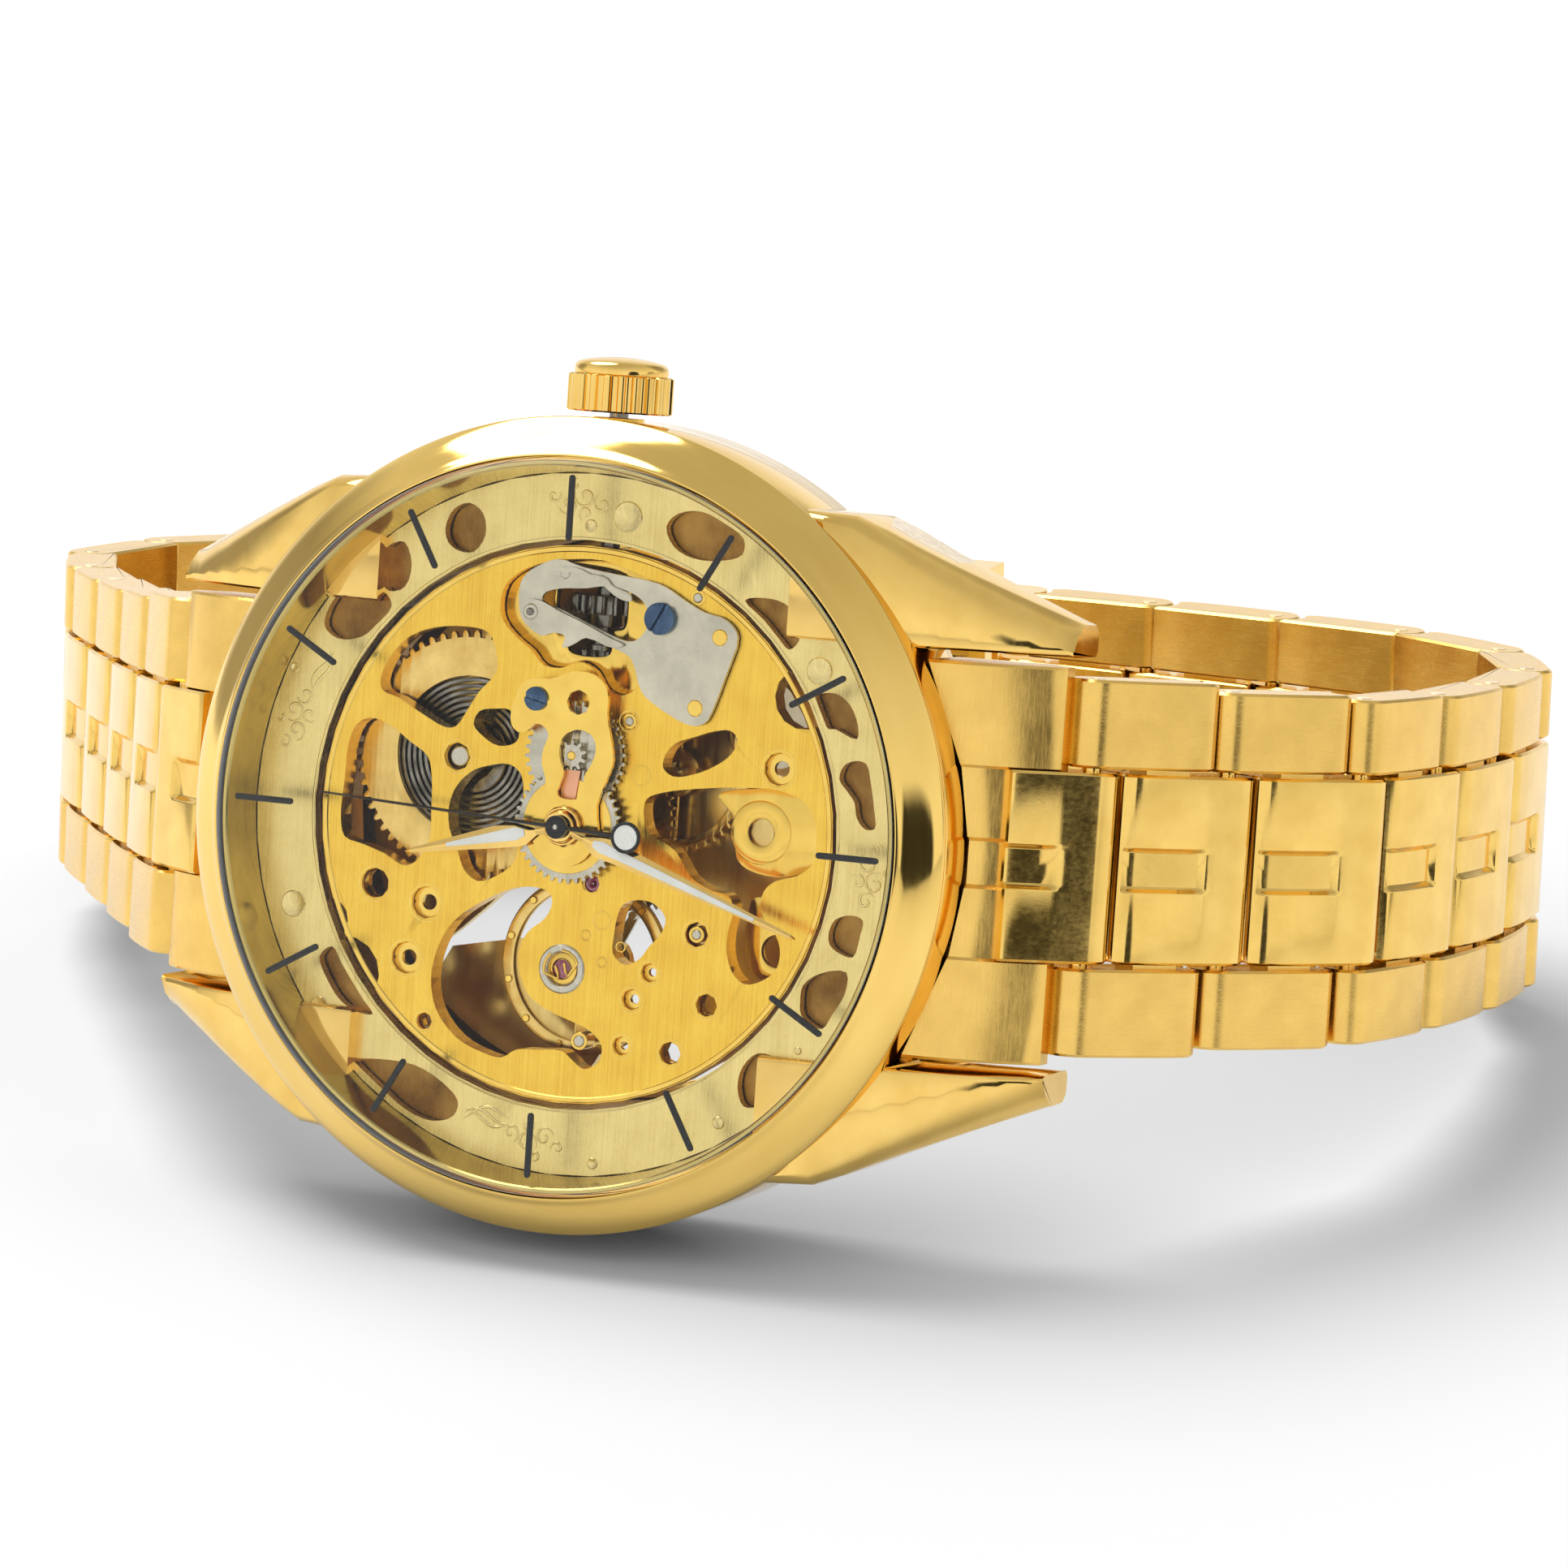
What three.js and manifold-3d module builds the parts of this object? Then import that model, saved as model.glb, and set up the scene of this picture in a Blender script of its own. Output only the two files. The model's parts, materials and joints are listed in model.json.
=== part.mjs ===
// Skeleton wristwatch with a three-row bracelet, lying on the nine o'clock side of its case.
// Millimetres. The watch is modelled in its own frame: x to three o'clock, y to twelve o'clock
// and z out of the dial, with z = 0 on the top of the main plate. One group then stands it up.
import * as THREE from 'three';
import { mergeVertices } from 'three/addons/utils/BufferGeometryUtils.js';
import Module from 'manifold-3d';

const wasm = await Module();
wasm.setup();

// ---- driving dimensions ----
const caseRadius = 20.9;
const caseTop = 1.2;
const caseBottom = -5.9;
const boreRadius = 18.6;
const bezelRadius = 21.0;
const bezelInnerRadius = 18.95;
const bezelEdgeZ = 1.58;
const bezelTopZ = 3.25;
const lugTipY = 25.3;
const lugGap = 10.6;
const plateRadius = 14.4;
const plateThickness = 1.2;
const ringInner = 14.7;
const ringOuter = 18.1;
const stemZ = -2.4;
const linkPitch = 8.2;
const linkHalfThickness = 1.45;
const linkRelief = 1.72;
const centreHalfWidth = 4.85;
const outerInnerEdge = 5.1;
const outerOuterEdge = 10.1;

// Half width of the bracelet at each link from the case; the rest are as wide as the last one.
const taper = [9.6, 9.2, 9.0, 8.9];
const claspHalfWidth = 10.1;
const firstHingeY = 25.8;
const firstHingeZ = -6.0;
const lean = THREE.MathUtils.degToRad(14.15);

// Direction of each link below the dial plane, and the small sideways set of each link, in degrees.
const sixSide = {
  fall: [51, 51, 78, 85, 92, 116, 149, 169, 173, 176],
  set: [0, 1, 2, 3, 4, 5, 6, 7, 8, 8],
};
const twelveSide = {
  fall: [52, 52, 52, 52, 62, 95, 130, 160],
  set: [0, 1, 2, 3, 4, 5, 6, 6],
};

// Arbor positions in the movement.
const centre = new THREE.Vector2(0, 0);
const barrelAt = new THREE.Vector2(2.94, 6.82);
const thirdAt = new THREE.Vector2(2.88, -3.63);
const escapeAt = new THREE.Vector2(-2.85, -2.66);
const palletAt = new THREE.Vector2(-4.74, -1.94);
const balanceAt = new THREE.Vector2(-7.47, 0.11);
const minuteWheelAt = new THREE.Vector2(3.62, 0);
const crownWheelAt = new THREE.Vector2(8.41, 2.14);

// Tooth counts.
const teeth = {
  barrel: 60, centrePinion: 10, centreWheel: 48, thirdPinion: 6, thirdWheel: 45,
  fourthPinion: 6, fourthWheel: 60, escapePinion: 5, escapeWheel: 15, ratchet: 35,
  crownWheel: 25, cannonPinion: 12, minuteWheel: 36, minutePinion: 10, hourWheel: 40,
};

// Hand angles at rest, clockwise from twelve, in degrees.
const handAngle = { hour: 346.5, minute: 198.4, second: 2.5 };

// ---- materials ----
const metal = (color, roughness) => new THREE.MeshStandardMaterial({ color, roughness, metalness: 1 });
const polishedGold = () => metal(0xe9c46a, 0.12);
const satinGold = () => metal(0xd9b45c, 0.35);
const plateGold = () => metal(0xe8b62e, 0.3);
const paleGold = () => metal(0xd8c274, 0.38);
const steel = () => metal(0xb9b8b0, 0.3);
const darkSteel = () => metal(0x55565a, 0.35);
const brass = () => metal(0xd9a441, 0.28);

function glass() {
  return new THREE.MeshStandardMaterial({
    color: 0xf4f6f4, roughness: 0.02, metalness: 0, transparent: true, opacity: 0.2,
  });
}

// ---- solid helpers ----
function toSolid(geometry) {
  const bare = geometry.clone();
  bare.deleteAttribute('normal');
  bare.deleteAttribute('uv');
  const merged = mergeVertices(bare, 1e-4);
  const mesh = new wasm.Mesh({
    numProp: 3,
    vertProperties: merged.attributes.position.array,
    triVerts: Uint32Array.from(merged.index.array),
  });
  return new wasm.Manifold(mesh);
}

function toGeometry(solid) {
  const mesh = solid.getMesh();
  const geometry = new THREE.BufferGeometry();
  geometry.setAttribute('position', new THREE.BufferAttribute(mesh.vertProperties, 3));
  geometry.setIndex(new THREE.BufferAttribute(mesh.triVerts, 1));
  geometry.computeVertexNormals();
  return geometry;
}

function join(...geometries) {
  return toGeometry(geometries.map(toSolid).reduce((sum, next) => sum.add(next)));
}

function cut(base, ...tools) {
  return toGeometry(tools.map(toSolid).reduce((rest, tool) => rest.subtract(tool), toSolid(base)));
}

function common(a, b) {
  return toGeometry(toSolid(a).intersect(toSolid(b)));
}

// A plate of the given outline between two heights.
function slab(shape, low, high, curveSegments = 12) {
  const geometry = new THREE.ExtrudeGeometry(shape, {
    depth: high - low, bevelEnabled: false, curveSegments,
  });
  return geometry.translate(0, 0, low);
}

// A solid of revolution about z; points are [radius, height], anticlockwise round the section.
function turned(points, segments = 40) {
  const section = points.map(([r, h]) => new THREE.Vector2(r, h));
  if (points[0][0] > 0) section.push(section[0].clone());
  return new THREE.LatheGeometry(section, segments).rotateX(Math.PI / 2);
}

function washer(inner, outer, low, high, segments = 32) {
  return turned([[inner, low], [outer, low], [outer, high], [inner, high]], segments);
}

function rod(radius, low, high, segments = 12) {
  return turned([[0, low], [radius, low], [radius, high], [0, high]], segments);
}

// Points round a circle, more of them on a larger one.
function circlePoints(x, y, radius) {
  const count = Math.min(48, 2 * Math.round(3 + 1.9 * radius));
  return Array.from({ length: count }, (_, i) => {
    const a = 2 * Math.PI * i / count;
    return new THREE.Vector2(x + radius * Math.cos(a), y + radius * Math.sin(a));
  });
}

function circlePath(x, y, radius) {
  return new THREE.Path(circlePoints(x, y, radius));
}

function disc(x, y, radius) {
  return new THREE.Shape(circlePoints(x, y, radius));
}

// A smooth closed outline through a few points.
function smoothOutline(points, steps) {
  const curve = new THREE.CatmullRomCurve3(points.map(([x, y]) => new THREE.Vector3(x, y, 0)), true);
  const edge = curve.getPoints(steps).slice(0, -1).map((p) => new THREE.Vector2(p.x, p.y));
  return THREE.ShapeUtils.isClockWise(edge) ? edge.reverse() : edge;
}

function smoothHole(points, steps = 3 * points.length) {
  return new THREE.Path(smoothOutline(points, steps));
}

// A point at a clock angle (degrees clockwise from twelve) and a radius.
function polar(radius, degrees) {
  const a = THREE.MathUtils.degToRad(degrees);
  return [radius * Math.sin(a), radius * Math.cos(a)];
}

// ---- gears ----
function gearShape(count, pitchRadius, phase = 0) {
  const module = 2 * pitchRadius / count;
  const tip = pitchRadius + 0.75 * module;
  const root = pitchRadius - 0.95 * module;
  const step = 2 * Math.PI / count;
  const corners = [[root, -0.32], [tip, 0], [root, 0.32]];
  const shape = new THREE.Shape();
  for (let i = 0; i < count; i += 1) {
    for (const [r, part] of corners) {
      const a = phase + (i + part) * step;
      const move = i === 0 && part < 0 ? 'moveTo' : 'lineTo';
      shape[move](r * Math.cos(a), r * Math.sin(a));
    }
  }
  shape.closePath();
  return shape;
}

// Phase that puts a driven gear's gap against the driver's tooth.
function meshPhase(from, to, driverTeeth, driverPhase, drivenTeeth) {
  const bearing = Math.atan2(to.y - from.y, to.x - from.x);
  const turn = (bearing - driverPhase) * driverTeeth / (2 * Math.PI);
  const part = turn - Math.floor(turn);
  return bearing + Math.PI + (part + 0.5) * 2 * Math.PI / drivenTeeth;
}

function gear(count, pitchRadius, low, high, phase = 0, holes = []) {
  const shape = gearShape(count, pitchRadius, phase);
  shape.holes.push(...holes);
  return slab(shape, low, high, 3);
}

// Openings between the spokes of a wheel.
function spokeHoles(inner, outer, spokes, spokeWidth) {
  const holes = [];
  for (let i = 0; i < spokes; i += 1) {
    const start = i * 2 * Math.PI / spokes;
    const end = start + 2 * Math.PI / spokes;
    const path = new THREE.Path();
    const trim = (r) => Math.asin(spokeWidth / 2 / r);
    path.absarc(0, 0, inner, end - trim(inner), start + trim(inner), true);
    path.absarc(0, 0, outer, start + trim(outer), end - trim(outer), false);
    path.closePath();
    holes.push(path);
  }
  return holes;
}

// ---- placing ----
const watch = new THREE.Group();

function place(name, geometry, material, x = 0, y = 0, z = 0) {
  const mesh = new THREE.Mesh(geometry, material);
  mesh.name = name;
  mesh.position.set(x, y, z);
  watch.add(mesh);
  return mesh;
}

function placeAt(name, geometry, material, point) {
  return place(name, geometry, material, point.x, point.y, 0);
}

// ---- case ----
function lugPlan(sideX, sideY) {
  const shape = new THREE.Shape();
  const corners = [[lugGap, 12], [17.2, 12], [15.9, 15.6], [12.9, lugTipY - 0.5], [12.3, lugTipY],
    [lugGap, lugTipY]];
  corners.forEach(([x, y], i) => shape[i ? 'lineTo' : 'moveTo'](sideX * x, sideY * y));
  shape.closePath();
  return shape;
}

// Side profile of a lug: flat shoulder falling in a curve to the tip.
function lugProfile() {
  const shape = new THREE.Shape();
  shape.moveTo(12, caseTop - 0.1);
  shape.lineTo(17.5, 0.9);
  shape.quadraticCurveTo(22.5, -0.6, lugTipY, -4.2);
  shape.lineTo(lugTipY, -7.6);
  shape.quadraticCurveTo(22.5, -6.4, 18.5, caseBottom + 0.1);
  shape.lineTo(12, caseBottom + 0.1);
  shape.closePath();
  return shape;
}

function lug(sideX, sideY) {
  const profile = slab(lugProfile(), 0, 20, 5);
  const basis = new THREE.Matrix4().makeBasis(
    new THREE.Vector3(0, sideY, 0), new THREE.Vector3(0, 0, 1), new THREE.Vector3(sideY, 0, 0),
  );
  profile.applyMatrix4(basis);
  if (sideX !== sideY) profile.translate(-20 * sideY, 0, 0);
  const clear = rod(boreRadius + 0.6, -12, 12, 40);
  return cut(common(profile, slab(lugPlan(sideX, sideY), -12, 6)), clear);
}

function caseMiddle() {
  const band = turned([
    [boreRadius, caseBottom], [caseRadius - 0.8, caseBottom], [caseRadius, caseBottom + 0.8],
    [caseRadius, caseTop], [boreRadius, caseTop],
  ], 48);
  const lugs = [[1, 1], [-1, 1], [1, -1], [-1, -1]].map(([x, y]) => lug(x, y));
  const stemHole = rod(1.5, 15, 24, 16).rotateY(Math.PI / 2).translate(0, 0, stemZ);
  return cut(join(band, ...lugs), stemHole);
}

function bezel() {
  return turned([
    [bezelInnerRadius, 1.3], [bezelRadius, 1.3], [bezelRadius, bezelEdgeZ],
    [bezelInnerRadius, bezelTopZ],
  ], 48);
}

function rehaut() {
  return turned([
    [ringOuter + 0.1, 0.3], [18.4, 0.3], [18.75, 2.85], [18.5, 2.85],
  ]);
}

function crystal() {
  return turned([[0, 3.0], [18.85, 3.0], [18.85, 3.4], [18.3, 3.9], [0, 3.9]]);
}

function caseBack() {
  return turned([
    [14.2, -7.1], [17.6, -7.1], [19.3, -6.6], [19.3, -6.0], [16.0, -6.0], [16.0, -6.75],
    [14.2, -6.75],
  ], 32);
}

// Holder between the movement and the case, drilled for the stem.
function movementRing() {
  const drill = rod(0.9, 13, 20, 12).rotateY(Math.PI / 2).translate(0, 0, stemZ);
  return cut(washer(14.75, 18.4, caseBottom + 0.4, -0.5), drill);
}

place('case_middle', caseMiddle(), polishedGold());
place('bezel', bezel(), polishedGold());
place('inner_flange', rehaut(), polishedGold());
place('crystal', crystal(), glass());
place('case_back', caseBack(), polishedGold());
place('case_back_glass', rod(15.8, -6.65, -6.1, 32), glass());
place('movement_ring', movementRing(), satinGold());

// ---- dial ring and plates ----
// Cut-outs of the ring, each through a few points on its edge.
const ringWindows = [
  [[4.4, -14.8], [4.7, -15.4], [4.6, -16.0], [3.7, -16.3], [2.3, -16.6], [1.4, -16.7], [1.3, -16.2],
    [1.8, -15.7], [2.6, -15.5], [3.1, -15.1], [3.7, -14.6]],
  [[-4.1, -14.6], [-3.4, -14.9], [-3.1, -15.8], [-3.3, -16.4], [-4.1, -16.3], [-5.2, -16.0],
    [-5.1, -15.3], [-4.7, -14.7]],
  [[-7.8, -13.3], [-6.9, -13.4], [-6.2, -14.3], [-6.0, -15.7], [-7.1, -15.7], [-8.2, -15.1],
    [-9.0, -14.6], [-8.8, -13.9], [-8.4, -13.4]],
  [[-12.5, -10.2], [-11.4, -10.4], [-10.6, -11.2], [-10.8, -12.2], [-11.5, -12.5], [-12.5, -12.1],
    [-13.3, -11.4], [-13.4, -10.6]],
  [[-13.3, 11.7], [-13.3, 11.2], [-13.2, 9.9], [-13.3, 8.0], [-14.0, 6.4], [-14.9, 5.4], [-15.7, 5.6],
    [-16.1, 6.8], [-15.7, 8.3], [-14.6, 10.0], [-13.8, 11.1]],
  [[-7.6, 13.2], [-8.2, 13.9], [-9.3, 13.4], [-10.4, 12.5], [-10.9, 11.4], [-10.9, 10.6],
    [-10.2, 11.2], [-9.2, 12.0], [-8.4, 12.6]],
  [[9.1, 14.8], [10.1, 14.6], [11.0, 13.9], [11.5, 12.8], [11.0, 11.3], [10.4, 11.0], [9.4, 11.8],
    [8.7, 12.6], [8.5, 14.0]],
  [[12.8, 11.9], [13.6, 11.3], [13.8, 10.5], [12.7, 10.0], [11.5, 10.3], [11.2, 11.2], [11.8, 11.8]],
  [[14.7, 8.2], [15.7, 7.8], [16.1, 6.9], [15.6, 6.1], [14.5, 5.9], [13.6, 6.5], [13.6, 7.4],
    [14.0, 8.0]],
  [[15.7, -4.2], [16.4, -4.8], [16.6, -6.1], [16.1, -7.4], [15.4, -8.5], [14.6, -8.5], [14.2, -7.4],
    [14.2, -5.8], [14.7, -4.7]],
  [[12.3, -8.8], [12.5, -9.8], [12.3, -11.0], [11.5, -11.8], [10.5, -11.9], [10.0, -11.4],
    [10.5, -10.8], [11.4, -9.9]],
  [[7.5, -13.1], [7.8, -13.0], [8.0, -14.1], [7.5, -14.9], [6.5, -15.4], [5.8, -15.4], [6.2, -14.2],
    [6.2, -13.8], [6.7, -13.5]],
];

function dialRing() {
  const shape = disc(0, 0, ringOuter);
  shape.holes.push(circlePath(0, 0, ringInner));
  shape.holes.push(...ringWindows.map((points) => smoothHole(points)));
  return slab(shape, -0.35, 0.25);
}

// Windows in the main plate, each through a few points on its edge.
const plateWindows = [
  [[6.5, 11.5], [7.8, 11.0], [8.9, 10.0], [9.5, 8.6], [9.7, 6.8], [9.5, 5.5], [8.6, 5.0], [7.5, 4.9],
    [6.4, 5.8], [5.4, 6.4], [4.5, 7.0], [4.4, 7.6], [5.0, 9.0], [5.7, 10.4], [6.0, 11.3]],
  [[4.5, 12.0], [4.3, 10.9], [3.5, 9.6], [2.8, 8.5], [1.8, 8.2], [-0.1, 8.1], [-1.5, 8.1], [-2.7, 8.8],
    [-3.0, 9.5], [-2.5, 10.6], [-2.1, 11.9], [-1.8, 13.0], [-0.7, 13.3], [1.2, 13.2], [3.1, 13.1],
    [4.1, 12.7]],
  [[4.7, 6.0], [5.4, 5.7], [5.6, 4.8], [5.6, 4.0], [4.8, 3.4], [4.0, 3.5], [3.7, 4.5], [4.1, 5.4]],
  [[2.6, 5.1], [2.8, 3.8], [2.3, 3.1], [0.9, 2.9], [-0.8, 3.0], [-2.2, 3.2], [-3.0, 4.1], [-3.4, 5.2],
    [-2.9, 6.0], [-1.8, 6.5], [-0.8, 7.0], [0.3, 7.1], [1.3, 6.8], [2.2, 6.0]],
  [[-3.4, 1.9], [-3.6, 1.1], [-4.1, 0.9], [-4.9, 1.2], [-5.8, 2.2], [-6.9, 2.6], [-8.1, 2.4],
    [-9.0, 1.9], [-9.7, 0.7], [-10.1, -0.6], [-10.5, -1.7], [-11.2, -2.4], [-12.0, -2.3],
    [-12.5, -1.5], [-12.1, -0.8], [-11.7, -0.2], [-11.8, 1.3], [-11.9, 2.4], [-12.4, 3.2],
    [-12.2, 4.5], [-11.6, 5.9], [-10.3, 7.1], [-8.7, 7.5], [-7.0, 7.2], [-5.6, 6.4], [-4.4, 4.8],
    [-3.6, 3.2]],
  [[-3.8, -3.1], [-3.5, -3.9], [-3.6, -4.8], [-4.3, -5.5], [-5.1, -5.3], [-5.8, -4.7], [-6.5, -4.2],
    [-6.9, -3.4], [-6.4, -2.7], [-5.3, -2.7], [-4.5, -2.8]],
  [[4.1, -4.9], [4.7, -5.4], [5.1, -6.4], [5.5, -7.5], [5.6, -8.4], [5.2, -8.8], [4.4, -8.5],
    [3.7, -7.6], [3.2, -6.5], [3.0, -5.4], [3.4, -4.8]],
  [[0.9, -3.9], [1.7, -4.0], [2.1, -4.8], [2.5, -6.8], [2.8, -9.5], [2.8, -11.3], [2.4, -12.6],
    [1.5, -13.3], [0.3, -13.5], [-0.7, -13.4], [-1.4, -12.6], [-1.8, -11.4], [-2.4, -10.8],
    [-3.4, -10.7], [-4.2, -11.4], [-5.2, -11.9], [-6.2, -11.8], [-6.9, -11.1], [-7.2, -10.1],
    [-6.7, -9.4], [-5.7, -9.0], [-4.6, -9.0], [-3.5, -9.2], [-2.8, -8.9], [-2.6, -7.9], [-2.0, -6.7],
    [-0.9, -5.9], [-0.4, -5.1], [-0.1, -4.3]],
  [[11.0, 4.9], [12.0, 4.7], [12.7, 4.0], [13.2, 3.0], [13.6, 1.3], [13.7, -0.7], [13.4, -1.9],
    [12.9, -3.3], [11.9, -4.1], [10.2, -4.1], [9.0, -3.5], [7.7, -3.3], [6.9, -2.4], [7.1, -1.4],
    [8.0, -0.7], [8.4, 0.2], [8.0, 1.3], [8.1, 2.3], [8.8, 3.0], [9.4, 3.9], [10.2, 4.7]],
];

// Round holes in the main plate: x, y, radius.
const plateHoles = [
  [2.94, 6.82, 0.75], [-4.07, 11.06, 0.8], [-4.8, 8.05, 0.85], [-7.79, 9.01, 0.85],
  [-10.98, 7.75, 0.45], [3.89, -11.2, 0.85], [-4.95, -7.27, 0.65], [-7.17, -4.81, 0.5],
  [-8.65, -3.91, 0.55], [-8.5, -8.07, 0.6], [-11.17, -6.23, 0.6], [-11.09, -3.5, 0.5],
  [5.6, -2.76, 0.45], [-2.9, -1.2, 0.5], [0, 0, 1.5], [-7.47, 0.11, 1.3],
];

// Bites out of the plate's rim: x, y, radius.
const plateNotches = [[-8.9, 12.4, 1.9], [-6.2, 13.6, 1.1], [7.6, -12.3, 1.6]];

function mainPlate() {
  const shape = disc(0, 0, plateRadius);
  shape.holes.push(...plateWindows.map((points) => smoothHole(points)));
  shape.holes.push(...plateHoles.map(([x, y, r]) => circlePath(x, y, r)));
  const bites = plateNotches.map(([x, y, r]) => rod(r, -3, 3, 14).translate(x, y, 0));
  return cut(slab(shape, -plateThickness, 0, 12), ...bites);
}

place('dial_ring', dialRing(), paleGold());
place('main_plate', mainPlate(), plateGold());

// ---- bridges at the back ----
const bridgeLow = -5.75;
const bridgeHigh = -5.2;

function barrelBridge() {
  const shape = new THREE.Shape();
  shape.absarc(0, 0, 13.9, THREE.MathUtils.degToRad(-8), THREE.MathUtils.degToRad(128), false);
  shape.quadraticCurveTo(-3, 3.5, 1.5, 2.2);
  shape.quadraticCurveTo(7, 1.2, 10, -1.6);
  shape.closePath();
  shape.holes.push(circlePath(barrelAt.x, barrelAt.y, 1.2));
  return slab(shape, bridgeLow, bridgeHigh, 10);
}

function trainBridge() {
  const shape = new THREE.Shape();
  shape.absarc(0, 0, 13.9, THREE.MathUtils.degToRad(-150), THREE.MathUtils.degToRad(-14), false);
  shape.lineTo(9.5, -2.9);
  shape.quadraticCurveTo(5.5, 0.6, 1.2, 1.4);
  shape.quadraticCurveTo(-1.6, 1.2, -2.2, -1.0);
  shape.quadraticCurveTo(-4.2, -3.8, -9.0, -4.9);
  shape.closePath();
  for (const [x, y] of [[0, 0], [2.88, -3.63], [-2.85, -2.66]]) {
    shape.holes.push(circlePath(x, y, 0.55));
  }
  shape.holes.push(smoothHole([[3.5, -8.5], [7.2, -6.6], [8.2, -8.6], [4.6, -10.8]], 14));
  return slab(shape, bridgeLow, bridgeHigh, 10);
}

function balanceCock() {
  const shape = new THREE.Shape();
  shape.absarc(0, 0, 13.9, THREE.MathUtils.degToRad(134), THREE.MathUtils.degToRad(176), false);
  shape.quadraticCurveTo(-10.5, -1.6, balanceAt.x, -1.5);
  shape.quadraticCurveTo(balanceAt.x + 1.8, -1.2, balanceAt.x + 1.5, 1.0);
  shape.quadraticCurveTo(-6.8, 5.5, -7.5, 8.8);
  shape.closePath();
  shape.holes.push(circlePath(balanceAt.x, balanceAt.y, 0.6));
  return slab(shape, bridgeLow, bridgeHigh, 6);
}

place('barrel_bridge', barrelBridge(), paleGold());
place('train_bridge', trainBridge(), paleGold());
place('balance_cock', balanceCock(), paleGold());

// ---- parts on the dial side of the plate ----
function keylessPlate() {
  const outline = smoothOutline([
    [12.2, 3.7], [12.8, 3.3], [13.3, 2.5], [13.6, 1.6], [13.3, 0.3], [13.1, -1.2], [12.8, -3.9],
    [12.5, -4.7], [12.0, -5.6], [11.5, -6.7], [11.3, -7.7], [10.9, -8.3], [10.3, -8.6], [8.5, -8.1],
    [6.4, -7.4], [5.9, -7.1], [5.7, -6.6], [5.8, -5.9], [6.8, -3.9], [7.3, -3.4], [8.8, -2.8],
    [9.2, -2.0], [9.8, 0.1], [9.9, 1.3], [9.6, 2.3], [10.0, 3.1], [10.6, 3.6],
  ], 66);
  const shape = new THREE.Shape(outline);
  shape.holes.push(smoothHole([[11.4, 2.4], [11.8, 2.3], [12.1, 1.4], [12.2, 0.1], [12.4, -1.0],
    [12.3, -2.2], [11.9, -3.1], [11.4, -3.5], [10.4, -3.5], [9.8, -3.0], [9.7, -2.4], [9.9, -1.7],
    [10.6, 0.2], [11.0, 1.2]], 36));
  return slab(shape, 0.1, 0.35);
}

function settingLever() {
  const outline = smoothOutline([
    [11.0, 3.5], [11.4, 3.1], [11.4, 2.4], [10.9, 1.2], [10.4, -0.2], [9.8, -1.6], [9.5, -2.4],
    [9.3, -1.8], [9.7, -0.3], [9.3, 0.4], [9.1, 1.0], [9.7, 0.9], [9.8, 1.6], [9.6, 2.2],
    [9.9, 2.8], [10.4, 3.3],
  ], 44);
  return slab(new THREE.Shape(outline), 0.42, 0.6);
}

function motionBridge() {
  const shape = new THREE.Shape(smoothOutline([
    [4.9, 3.3], [5.6, 3.4], [6.4, 3.2], [7.1, 2.9], [7.4, 2.3], [7.5, 1.2], [7.9, 0.3], [8.0, -0.3],
    [7.9, -1.1], [7.4, -1.8], [6.7, -2.0], [5.9, -2.0], [4.3, -2.4], [3.5, -2.5], [2.8, -2.3],
    [1.2, -1.75], [-0.4, -1.9], [-1.7, -1.1], [-2.1, 0.0], [-1.7, 1.1], [-0.4, 1.9], [1.0, 1.5],
    [2.2, 1.2], [3.2, 1.5], [4.0, 1.4], [4.6, 1.2], [5.0, 1.5], [5.1, 2.0], [4.7, 2.4], [4.6, 2.9],
  ], 80));
  shape.holes.push(smoothHole([[3.9, 0.55], [4.6, 0.35], [5.0, -0.35], [4.8, -1.2], [4.1, -1.5],
    [3.3, -1.3], [2.7, -0.95], [2.0, -0.95], [1.5, -0.7], [1.4, 0.1], [1.6, 0.5], [2.2, 0.35],
    [2.8, 0.2], [3.2, 0.4]], 34));
  shape.holes.push(circlePath(0, 0, 1.1));
  shape.holes.push(circlePath(6.4, -0.35, 0.65));
  return slab(shape, 0.9, 1.15);
}

place('keyless_plate', keylessPlate(), steel());
place('setting_lever', settingLever(), steel());
place('motion_bridge', motionBridge(), polishedGold());

// ---- going train ----
const barrelPitch = barrelAt.length() * teeth.barrel / (teeth.barrel + teeth.centrePinion);
const centrePinionPitch = barrelAt.length() - barrelPitch;
const centrePinionPhase = meshPhase(barrelAt, centre, teeth.barrel, 0, teeth.centrePinion);
const thirdSpan = thirdAt.length();
const centreWheelPitch = thirdSpan * teeth.centreWheel / (teeth.centreWheel + teeth.thirdPinion);
const thirdWheelPitch = thirdSpan * teeth.thirdWheel / (teeth.thirdWheel + teeth.fourthPinion);
const thirdPinionPhase = meshPhase(centre, thirdAt, teeth.centreWheel, 0, teeth.thirdPinion);
const fourthPinionPhase = meshPhase(thirdAt, centre, teeth.thirdWheel, 0, teeth.fourthPinion);
const escapeSpan = escapeAt.length();
const fourthWheelPitch = escapeSpan * teeth.fourthWheel / (teeth.fourthWheel + teeth.escapePinion);
const escapePinionPhase = meshPhase(centre, escapeAt, teeth.fourthWheel, 0, teeth.escapePinion);

function barrelDrum() {
  const drum = turned([
    [1.0, -3.45], [5.6, -3.45], [5.6, -1.5], [5.25, -1.5], [5.25, -3.2], [1.0, -3.2],
  ], 28);
  const teethRing = gear(teeth.barrel, barrelPitch, -1.85, -1.5, 0, [circlePath(0, 0, 5.4)]);
  return join(drum, teethRing);
}

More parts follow.
